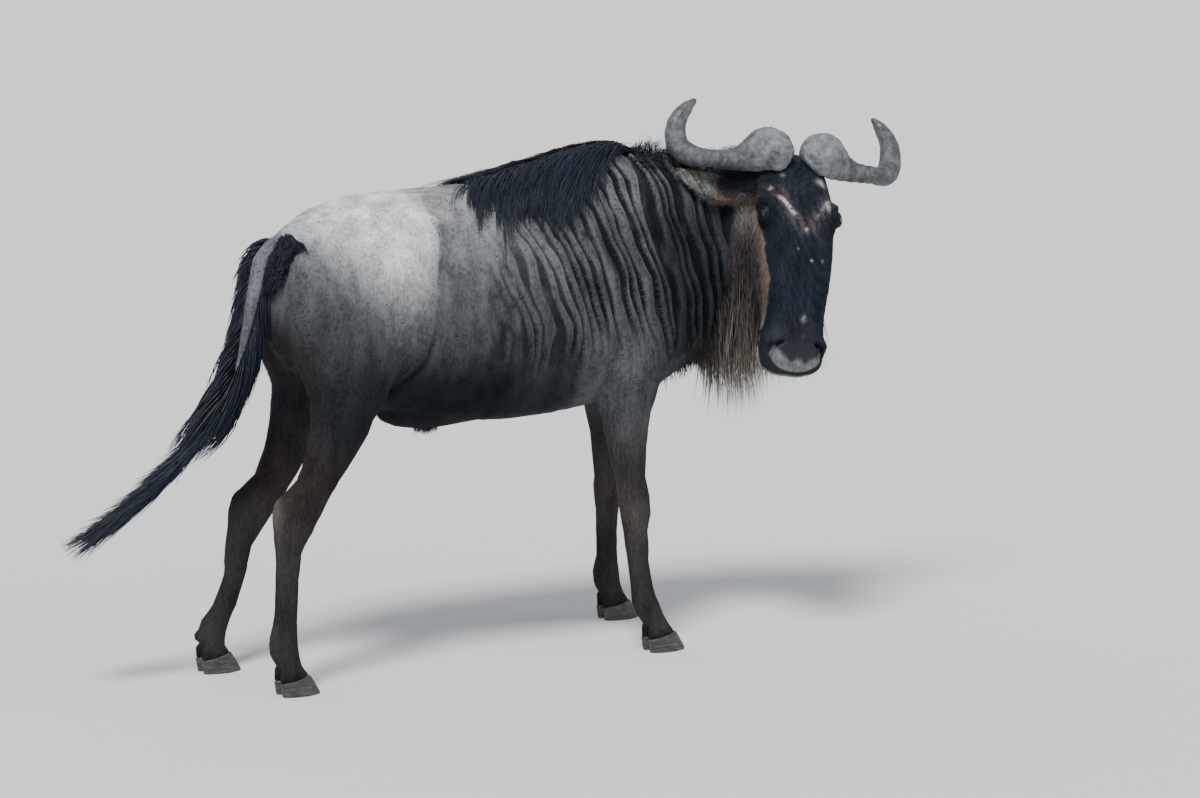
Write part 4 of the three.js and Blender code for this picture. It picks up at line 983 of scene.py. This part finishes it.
def beardTip(roots):
    pale = smooth(roots[:, 0] - standOrigin[0], 0.68, 0.76)[:, None]
    return np.array(longHair["dark"]) * (1 - pale) + np.array(longHair["cream"]) * pale


def hang(roots, out):
    return np.array([0.04, -0.04, -1.0]) + out * 0.30


def fall(roots, out):
    return np.array([0.02, -0.02, -1.0])


beardLocks = locksFrom(
    "beardLocks", 4600, beardDensity, 202, beardLength, 0.0026, hang, fall, evenColour("root"), beardTip,
    rings=5, pull=0.07, dull=0.35, turn=2.8, shortest=0.30,
)
settle(beardLocks, longFinish, "long_hair", "beard")

jaw = (headMiddles[:, 0] > 0.14) & (headMiddles[:, 0] < 0.42) & (headMiddles[:, 2] < -0.055)
jaw = jaw & (headMiddles[:, 1] > -0.12) & (headMiddles[:, 1] < 0.085)
jawDensity = jaw * onHeadTriangles * smooth(-headMiddles[:, 2], 0.055, 0.10)


def jawLength(roots):
    h = toHead(roots)[:, 0]
    return 0.11 + 0.13 * np.sin(np.clip((h - 0.10) / 0.36, 0, 1) * math.pi)


jawLocks = locksFrom(
    "jawLocks", 3200, jawDensity, 203, jawLength, 0.0026, hang, fall, evenColour("root"), evenColour("cream"),
    rings=5, pull=0.07, dull=0.50, turn=3.2, shortest=0.35,
)
settle(jawLocks, longFinish, "long_hair", "jaw_beard")

# Longer hair behind the mask and on the cheeks, which runs down into the beard
cheekEdge = np.interp(headMiddles[:, 0], maskEdge[:, 0], maskEdge[:, 1])
cheekDensity = onHeadTriangles * smooth(cheekEdge - headMiddles[:, 2], 0.002, 0.02) * (headMiddles[:, 0] > 0.05)
cheekDensity = cheekDensity * fade(headMiddles[:, 0], 0.42, 0.48) * (1 - earTriangles)
cheekValues = {"locks": 5500, "width": 0.0016}


def growCheeks():
    roots, out, flat, colours, chance = sowRoots(cheekValues["locks"], cheekDensity, 207)
    down = headAxes @ np.array([0.75, 0, -0.25]) + np.array([0, 0, -0.35])
    lie = unit(down - out * (out @ down)[:, None] + chance.normal(0, 0.10, (len(roots), 3)))
    lengths = chance.uniform(0.018, 0.040, len(roots))
    paths = bent(roots - out * 0.002, unit(lie + out * 0.16), unit(lie - out * 0.04), lengths, 3)
    shade = chance.uniform(0.35, 1.9, (len(roots), 1))
    widths = cheekValues["width"] * chance.uniform(0.6, 1.3, len(roots))
    return growHair("cheekHair", paths, out, widths, flat, colours * shade, colours * 1.3 * shade)


settle(growCheeks(), longFinish, "long_hair")


# Ears: fuzz along the edges, and hair that fills the root of each ear, dark there from dark hair colour and painted
# horn shadow
earHairValues = {"locks": 4200, "width": 0.0012}


def growEars():
    share = onEar(triangleMiddles)[0]
    facing = (skinNormals[triangleCorners].mean(1) @ headAxes)[:, 2]
    density = earTriangles * (share < 0.92) * (1 - 0.97 * smooth(facing, -0.60, -0.25) * smooth(share, 0.40, 0.50))
    roots, out, flat, colours, chance = sowRoots(earHairValues["locks"], density, 208)
    share, lower, side = onEar(roots)
    ways = np.array([np.subtract(*earValues[word][::-1]) for word in ("right", "left")])[side] @ headAxes.T
    edge = headAxes[:, 0] * (0.9 * smooth(lower, 0.004, 0.02))[:, None]
    lie = unit(unit(ways) * 0.9 + edge + chance.normal(0, 0.22, (len(roots), 3)))
    lengths = (0.009 + 0.016 * fade(share, 0.45, 0.75)) * chance.uniform(0.6, 1.2, len(roots))
    lift = 0.25 + 0.3 * fade(share, 0.3, 0.6)
    paths = bent(roots - out * 0.001, unit(lie + out * lift[:, None]), lie, lengths, 3)
    shade = chance.uniform(0.6, 1.5, (len(roots), 1))
    widths = earHairValues["width"] * chance.uniform(0.6, 1.3, len(roots))
    return growHair("earHair", paths, out, widths, flat, colours * shade, colours * 1.2 * shade)


settle(growEars(), longFinish, "long_hair")

# Forelock, from between the horns over the forehead
foreDensity = (headMiddles[:, 0] > 0.0) & (headMiddles[:, 0] < 0.075) & (headMiddles[:, 2] > 0.0)
foreDensity = foreDensity & (np.abs(headMiddles[:, 1]) < 0.045)
faceDown = headAxes @ np.array([1.0, 0, 0.0])
faceOut = headAxes @ np.array([0, 0, 1.0])
forelockLocks = locksFrom(
    "forelockLocks", 2000, foreDensity, 204, lambda roots: np.full(len(roots), 0.060), 0.0022,
    lambda roots, out: faceDown + faceOut * 0.55, lambda roots, out: faceDown - faceOut * 0.05,
    evenColour("dark"), evenColour("dark"), rings=4,
)
settle(forelockLocks, longFinish, "long_hair", "forelock")

# Sheath tuft
sheathSpot = np.array([-0.085, 0.0])
sheathDensity = np.exp(-(((middles[:, :2] - sheathSpot) / (0.022, 0.012)) ** 2).sum(1)) * (middles[:, 2] < 0.66)
sheathLocks = locksFrom(
    "sheathLocks", 260, sheathDensity, 205, lambda roots: np.full(len(roots), 0.026), 0.0022,
    hang, lambda roots, out: np.array([-0.8, 0, -1.0]), evenColour("brown"), evenColour("brown"),
    rings=3, shortest=0.4,
)
settle(sheathLocks, longFinish, "long_hair", "sheath_tuft")

# Tail: hair from both sides of the dock and round its end
tailLine = np.array([
    (-0.486, 0, 1.116), (-0.530, 0.007, 1.076), (-0.540, 0.015, 1.026), (-0.549, 0.022, 0.975), (-0.560, 0.028, 0.922),
    (-0.574, 0.034, 0.856), (-0.594, 0.039, 0.784), (-0.628, 0.044, 0.714), (-0.682, 0.050, 0.640),
    (-0.768, 0.054, 0.545), (-0.872, 0.060, 0.468), (-0.985, 0.066, 0.400), (-1.030, 0.068, 0.376),
]) + standOrigin
tailValues = {"twist": 37, "dock": 0.55, "radius": 0.022, "locks": 4800, "width": 0.0042, "search": 0.12}


def tailAt(shares):
    place = np.clip(shares, 0, 1) * (len(tailLine) - 1)
    index = np.minimum(place.astype(int), len(tailLine) - 2)
    part = (place - index)[:, None]
    before, after = tailLine[np.maximum(index - 1, 0)], tailLine[np.minimum(index + 2, len(tailLine) - 1)]
    here, there = tailLine[index], tailLine[index + 1]
    centre = 0.5 * (
        2 * here + (there - before) * part + (2 * before - 5 * here + 4 * there - after) * part ** 2
        + (3 * here - before - 3 * there + after) * part ** 3
    )
    along = unit((there - before) * (1 - part) + (after - here) * part)
    across = np.array([-math.sin(math.radians(tailValues["twist"])), math.cos(math.radians(tailValues["twist"])), 0])
    across = unit(across - along * (along @ across)[:, None])
    return centre, along, across, -np.cross(across, along)


tailLength = np.linalg.norm(np.diff(tailLine, axis=0), axis=1).sum()


def keepOut(paths, clear):  # lifts the parts of locks that would lie under the skin
    for lock in paths:
        for ring in range(1, len(lock)):
            spot, normal = surface.find_nearest(Vector(lock[ring]), tailValues["search"])[:2]
            if spot is not None and (Vector(lock[ring]) - spot).dot(normal) < clear:
                lock[ring] = spot + normal * clear


def growTail():
    chance = np.random.default_rng(206)
    count = tailValues["locks"]
    shares = 0.01 + 0.82 * chance.random(count) ** 0.95
    sides = np.where(chance.random(count) < 0.5, -1.0, 1.0)
    onDock = shares < tailValues["dock"]
    inward = chance.random(count) < 0.35
    centre, along, across, inner = tailAt(shares)
    radius = tailValues["radius"] * (1 - 0.7 * smooth(shares, 0.2, 0.6))
    covering = smooth(shares, 0.36, 0.54)  # lower down the hair starts on the dock's outer face too
    innerAngle = chance.uniform(0.5, 1.5, count)
    outerAngle = chance.uniform(-0.42, 0.6, count) - covering * chance.uniform(0, 1.3, count)
    angle = np.where(inward, innerAngle, outerAngle)
    out = across * (sides * np.cos(angle))[:, None] + inner * np.sin(angle)[:, None]
    roots = centre + out * (radius * 0.9)[:, None]
    half = 0.050 + 0.018 * fade(shares, 0.0, 0.2) + 0.010 * smooth(shares, 0.5, 0.7) - 0.034 * smooth(shares, 0.72, 0.9)
    lengths = (0.11 + 0.13 * smooth(shares, 0.1, 0.6)) * chance.uniform(0.7, 1.12, count)
    lengths = np.minimum(lengths, 0.05 + 1.02 * tailLength * (1 - shares))
    later, _, laterAcross, laterInner = tailAt(shares + lengths / tailLength)
    target = later + laterAcross * (sides * half * chance.uniform(0.2, 1.05, count))[:, None]
    target += laterInner * (0.013 * fade(shares, 0.4, 0.6) + chance.normal(0, 0.007, count))[:, None]
    way = unit(target - roots)
    spread = (0.55 + 0.9 * fade(shares, 0.0, 0.15)) * onDock
    start = unit(along * 0.9 + out * spread[:, None] + chance.normal(0, 0.05, (count, 3)))
    end = unit(2 * way - start + 0.05 * chance.normal(0, 1, (count, 3)))
    flat = np.stack([0.05 + 0.9 * shares, 0.5 + 0.4 * sides * (angle / 3.2)], 1)
    shade = chance.uniform(0.6, 1.6, (count, 1))
    widths = tailValues["width"] * chance.uniform(0.6, 1.3, count)
    paths = bent(roots, start, end, lengths, 5)
    high = shares < 0.30
    lifted = paths[high]
    keepOut(lifted, 0.004)
    paths[high] = lifted
    return growHair("tailHair", paths, -inner, widths, flat, *darkAndBlue(shade), 0.22)


settle(growTail(), longFinish, "long_hair", "tail_hair")

rumpFringe = np.array([  # beside the dock, where the tail's top hair lies: inner and outer edge
    ((-0.474, -0.030, 1.138), (-0.460, -0.070, 1.130)), ((-0.495, -0.036, 1.112), (-0.466, -0.088, 1.112)),
    ((-0.512, -0.030, 1.082), (-0.486, -0.082, 1.088)), ((-0.520, -0.026, 1.050), (-0.500, -0.081, 1.055)),
    ((-0.524, -0.006, 1.000), (-0.507, -0.082, 1.015)), ((-0.522, 0.010, 0.955), (-0.513, -0.070, 0.975)),
]) + standOrigin
fringeValues = {"locks": 1200, "rings": 5, "width": 0.0026}


def growFringe():
    chance = np.random.default_rng(209)
    count, rings = fringeValues["locks"], fringeValues["rings"]
    paths = np.empty((count, rings + 1, 3))
    facing = np.empty((count, 3))
    steps = len(rumpFringe) - 1
    starts = chance.random(count) ** 1.2 * 0.76
    for index, start in enumerate(starts):
        aside = 1.10 * chance.random() ** 1.35
        long = chance.uniform(0.10, 0.40) * (1 - 0.35 * aside)
        lean = chance.normal(0.10 * (start < 0.2), 0.26) - (0.10 + 0.5 * start) * aside
        high = 0.012 * chance.uniform(0.2, 1.7)
        start = max(0.24 * abs(aside - 0.35), start - 0.12 * aside * chance.random())
        for ring in range(rings + 1):
            u = ring / rings
            place = min(start + long * u, 1) * steps
            row = min(int(place), steps - 1)
            inner, outer = rumpFringe[row] * (1 - place + row) + rumpFringe[row + 1] * (place - row)
            across = aside + lean * u
            wanted = inner * (1 - across) + outer * across
            spot, normal = surface.find_nearest(Vector(wanted))[:2]
            spread = high * math.sin(math.pi * min(1, 0.15 + u)) + 0.003
            paths[index, ring] = np.array(spot) + np.array(normal) * (spread if ring else -0.004)
            if ring == rings // 2:
                facing[index] = np.array(normal)
    flat = np.stack([0.05 + 0.4 * starts, chance.uniform(0.1, 0.3, count)], 1)
    shade = chance.uniform(0.5, 1.7, (count, 1))
    widths = fringeValues["width"] * chance.uniform(0.6, 1.3, count)
    return growHair("tailFringe", paths, facing, widths, flat, *darkAndBlue(shade), 0.22)


settle(growFringe(), longFinish, "long_hair")
print("hair grown")


# Eyes
def makeEye(side, word):
    centre = fromHead([eyeValues["h"], side * eyeValues["s"], eyeValues["d"]])
    bpy.ops.object.select_all(action="DESELECT")
    bpy.ops.mesh.primitive_uv_sphere_add(segments=48, ring_count=32, radius=eyeValues["r"], location=centre)
    eye = bpy.context.object
    eye.name = f"eye{word}"
    bpy.ops.object.transform_apply(location=True, rotation=True, scale=True)
    local = (readPoints(eye.data) - centre) @ headAxes / eyeValues["r"]
    gaze, wide, tall = eyeAxes(side)
    a, b, out = local @ wide, local @ tall, local @ gaze
    bulge = 1 + 0.06 * fade(np.hypot(a, b), 0.3, 0.72) * (out > 0)
    writePoints(eye.data, centre + (local * bulge[:, None] * eyeValues["r"]) @ headAxes.T)
    writeColour(eye.data, "gaze", np.stack([a * 0.5 + 0.5, b * 0.5 + 0.5, out * 0.5 + 0.5], 1))
    bpy.ops.object.shade_smooth()
    return eye


def eyeMaterial():
    material, tree, shader = newMaterial("eyeDark")
    gaze = addNode(tree, "ShaderNodeVertexColor", layer_name="gaze")
    parts = addNode(tree, "ShaderNodeSeparateColor")
    tree.links.new(gaze.outputs["Color"], parts.inputs[0])
    scaled = addNode(tree, "ShaderNodeCombineXYZ")
    for source, target, size in (("Red", "X", 0.55), ("Green", "Y", 1.0)):
        centred = addNode(tree, "ShaderNodeMath", operation="SUBTRACT")
        centred.inputs[1].default_value = 0.5
        shrunk = addNode(tree, "ShaderNodeMath", operation="MULTIPLY")
        shrunk.inputs[1].default_value = size
        tree.links.new(parts.outputs[source], centred.inputs[0])
        tree.links.new(centred.outputs[0], shrunk.inputs[0])
        tree.links.new(shrunk.outputs[0], scaled.inputs[target])
    far = addNode(tree, "ShaderNodeVectorMath", operation="LENGTH")
    tree.links.new(scaled.outputs[0], far.inputs[0])
    ramp = colourRamp(tree, far.outputs["Value"], [
        (0.0, (0.002, 0.002, 0.003)), (0.10, (0.003, 0.003, 0.004)), (0.13, (0.030, 0.016, 0.008)),
        (0.27, (0.020, 0.011, 0.006)), (0.33, (0.006, 0.004, 0.003)), (0.40, (0.10, 0.07, 0.055)),
    ])
    tree.links.new(ramp.outputs["Color"], shader.inputs["Base Color"])
    shader.inputs["Roughness"].default_value = 0.08
    shader.inputs["Coat Weight"].default_value = 1.0
    shader.inputs["Coat Roughness"].default_value = 0.03
    return material


eyeFinish = eyeMaterial()
settle(makeEye(-1, "Right"), eyeFinish, "eye", "eye_right")
settle(makeEye(1, "Left"), eyeFinish, "eye", "eye_left")


# Horns
hornValues = {"voxel": 0.0028, "smoothing": 26, "bossSmoothing": 90, "most": 44000}


def makeHorn(node, name, seed):
    horn = copyNodes([node], name)
    modify(horn, "REMESH", mode="VOXEL", voxel_size=hornValues["voxel"])
    modify(horn, "SMOOTH", factor=0.5, iterations=hornValues["smoothing"])
    weigh(horn, "boss", fade(np.abs(toHead(readPoints(horn.data))[:, 1]), 0.09, 0.15))
    modify(horn, "SMOOTH", factor=0.5, iterations=hornValues["bossSmoothing"], vertex_group="boss")
    clearWeights(horn)
    mesh = horn.data
    points, normals = readPoints(mesh), readPoints(mesh, "normal")
    h, s = toHead(points).T[:2]
    boss = fade(np.abs(s), 0.09, 0.16)
    rough = 0.0022 * wave(points, seed, 0.040) + 0.0007 * wave(points, seed + 1, 0.013)
    rough += 0.0004 * wave(points, seed + 2, 0.006)
    rings = 0.0010 * np.sin(np.abs(s) / 0.0042 + 2.0 * wave(points, seed + 3, 0.06)) * fade(np.abs(s), 0.22, 0.28)
    shift = 0.0020 + 0.0012 * boss + boss * rough + (1 - boss) * (rings + 0.0006 * wave(points, seed + 4, 0.02))
    writePoints(mesh, points + normals * shift[:, None])
    tip = smooth(-h, -0.01, 0.12) * smooth(np.abs(s), 0.2, 0.25)
    writeColour(mesh, "part", np.stack([boss, tip, np.zeros(len(tip))], 1))
    thinTo(horn, hornValues["most"])
    pick(horn)
    bpy.ops.object.shade_smooth()
    return horn


def hornMaterial():
    material, tree, shader = newMaterial("hornRough")
    part = addNode(tree, "ShaderNodeVertexColor", layer_name="part")
    parts = addNode(tree, "ShaderNodeSeparateColor")
    tree.links.new(part.outputs["Color"], parts.inputs[0])
    place = addNode(tree, "ShaderNodeTexCoord")
    coarse = addNode(tree, "ShaderNodeTexNoise", Scale=34.0, Detail=10.0, Roughness=0.78)
    fine = addNode(tree, "ShaderNodeTexVoronoi", Scale=170.0)
    tree.links.new(place.outputs["Object"], coarse.inputs["Vector"])
    tree.links.new(place.outputs["Object"], fine.inputs["Vector"])
    shaft = colourRamp(tree, coarse.outputs["Fac"], [
        (0.36, (0.030, 0.026, 0.024)), (0.50, (0.070, 0.076, 0.084)), (0.66, (0.165, 0.172, 0.178)),
    ])
    knob = colourRamp(tree, coarse.outputs["Fac"], [
        (0.36, (0.050, 0.042, 0.040)), (0.46, (0.125, 0.135, 0.145)), (0.66, (0.27, 0.29, 0.30)),
    ])
    blend = addNode(tree, "ShaderNodeMix", data_type="RGBA")
    tree.links.new(parts.outputs["Red"], blend.inputs[0])
    tree.links.new(shaft.outputs["Color"], blend.inputs[6])
    tree.links.new(knob.outputs["Color"], blend.inputs[7])
    tree.links.new(blend.outputs[2], shader.inputs["Base Color"])
    total = addNode(tree, "ShaderNodeMath", operation="ADD")
    tree.links.new(coarse.outputs["Fac"], total.inputs[0])
    tree.links.new(fine.outputs["Distance"], total.inputs[1])
    bump = addNode(tree, "ShaderNodeBump", Strength=0.35, Distance=0.0018)
    tree.links.new(total.outputs[0], bump.inputs["Height"])
    tree.links.new(bump.outputs["Normal"], shader.inputs["Normal"])
    smoothness = addNode(tree, "ShaderNodeMapRange")
    smoothness.inputs["To Min"].default_value = 0.62
    smoothness.inputs["To Max"].default_value = 0.40
    tree.links.new(parts.outputs["Green"], smoothness.inputs["Value"])
    tree.links.new(smoothness.outputs["Result"], shader.inputs["Roughness"])
    return material


hornFinish = hornMaterial()
settle(makeHorn("horn_right", "hornRight", 301), hornFinish, "horn", "horn_right")
settle(makeHorn("horn_left", "hornLeft", 311), hornFinish, "horn", "horn_left")
print("horns made")


# Hooves
hoofValues = {"voxel": 0.0020, "smoothing": 10, "most": 8000}


def makeHoof(node, name):
    hoof = copyNodes([node], name)
    modify(hoof, "REMESH", mode="VOXEL", voxel_size=hoofValues["voxel"])
    modify(hoof, "SMOOTH", factor=0.5, iterations=hoofValues["smoothing"])
    mesh = hoof.data
    points, normals = readPoints(mesh), readPoints(mesh, "normal")
    sideways = 1 - np.abs(normals[:, 2])
    rings = 0.0006 * np.sin(points[:, 2] / 0.0022 + 1.2 * wave(points, 331, 0.05)) * smooth(points[:, 2], 0.006, 0.014)
    points = points + normals * (rings * sideways + 0.0004)[:, None]
    points[:, 2] = np.maximum(points[:, 2], 0)
    writePoints(mesh, points)
    thinTo(hoof, hoofValues["most"])
    pick(hoof)
    bpy.ops.object.shade_smooth()
    return hoof


def hoofMaterial():
    material, tree, shader = newMaterial("hoofHorn")
    place = addNode(tree, "ShaderNodeTexCoord")
    mapping = addNode(tree, "ShaderNodeMapping", Scale=(1, 1, 5))
    tree.links.new(place.outputs["Object"], mapping.inputs["Vector"])
    noise = addNode(tree, "ShaderNodeTexNoise", Scale=45.0, Detail=5.0, Roughness=0.6)
    tree.links.new(mapping.outputs["Vector"], noise.inputs["Vector"])
    ramp = colourRamp(tree, noise.outputs["Fac"], [
        (0.3, (0.018, 0.017, 0.016)), (0.55, (0.050, 0.046, 0.042)), (0.72, (0.13, 0.115, 0.10)),
    ])
    tree.links.new(ramp.outputs["Color"], shader.inputs["Base Color"])
    bump = addNode(tree, "ShaderNodeBump", Strength=0.4, Distance=0.001)
    tree.links.new(noise.outputs["Fac"], bump.inputs["Height"])
    tree.links.new(bump.outputs["Normal"], shader.inputs["Normal"])
    shader.inputs["Roughness"].default_value = 0.52
    return material


hoofFinish = hoofMaterial()
for end in ("front", "hind"):
    for side in ("right", "left"):
        for claw in ("outer", "inner"):
            node = f"{end}_hoof_{side}_{claw}"
            settle(makeHoof(node, f"{end}Hoof{side.title()}{claw.title()}"), hoofFinish, "hoof", node)
print("hooves made")


# Floor and light
def floorMaterial():
    material, _, shader = newMaterial("floorPale")
    shader.inputs["Base Color"].default_value = (0.74, 0.735, 0.72, 1)
    shader.inputs["Roughness"].default_value = 0.9
    return material


bpy.ops.object.select_all(action="DESELECT")
bpy.ops.mesh.primitive_plane_add(size=120, location=(0, 0, 0))
floor = bpy.context.object
floor.name = "floor"
floor.data.materials.append(floorMaterial())

lightValues = [  # way that the light falls, strength, spread in degrees
    ((0.45, 0.45, -1.0), 3.7, 16),
    ((-0.8, 0.5, -0.45), 0.5, 40),
    ((0.3, -0.9, -0.7), 0.35, 50),
]
for way, strength, spread in lightValues:
    bpy.ops.object.light_add(type="SUN", location=(0, 0, 5))
    lamp = bpy.context.object
    lamp.data.energy = strength
    lamp.data.angle = math.radians(spread)
    lamp.rotation_euler = Vector(way).to_track_quat("-Z", "Y").to_euler()
world = bpy.data.worlds.new("studio")
world.use_nodes = True
world.node_tree.nodes["Background"].inputs["Color"].default_value = (0.80, 0.86, 0.95, 1)
world.node_tree.nodes["Background"].inputs["Strength"].default_value = 0.55
bpy.context.scene.world = world
print("stage set")
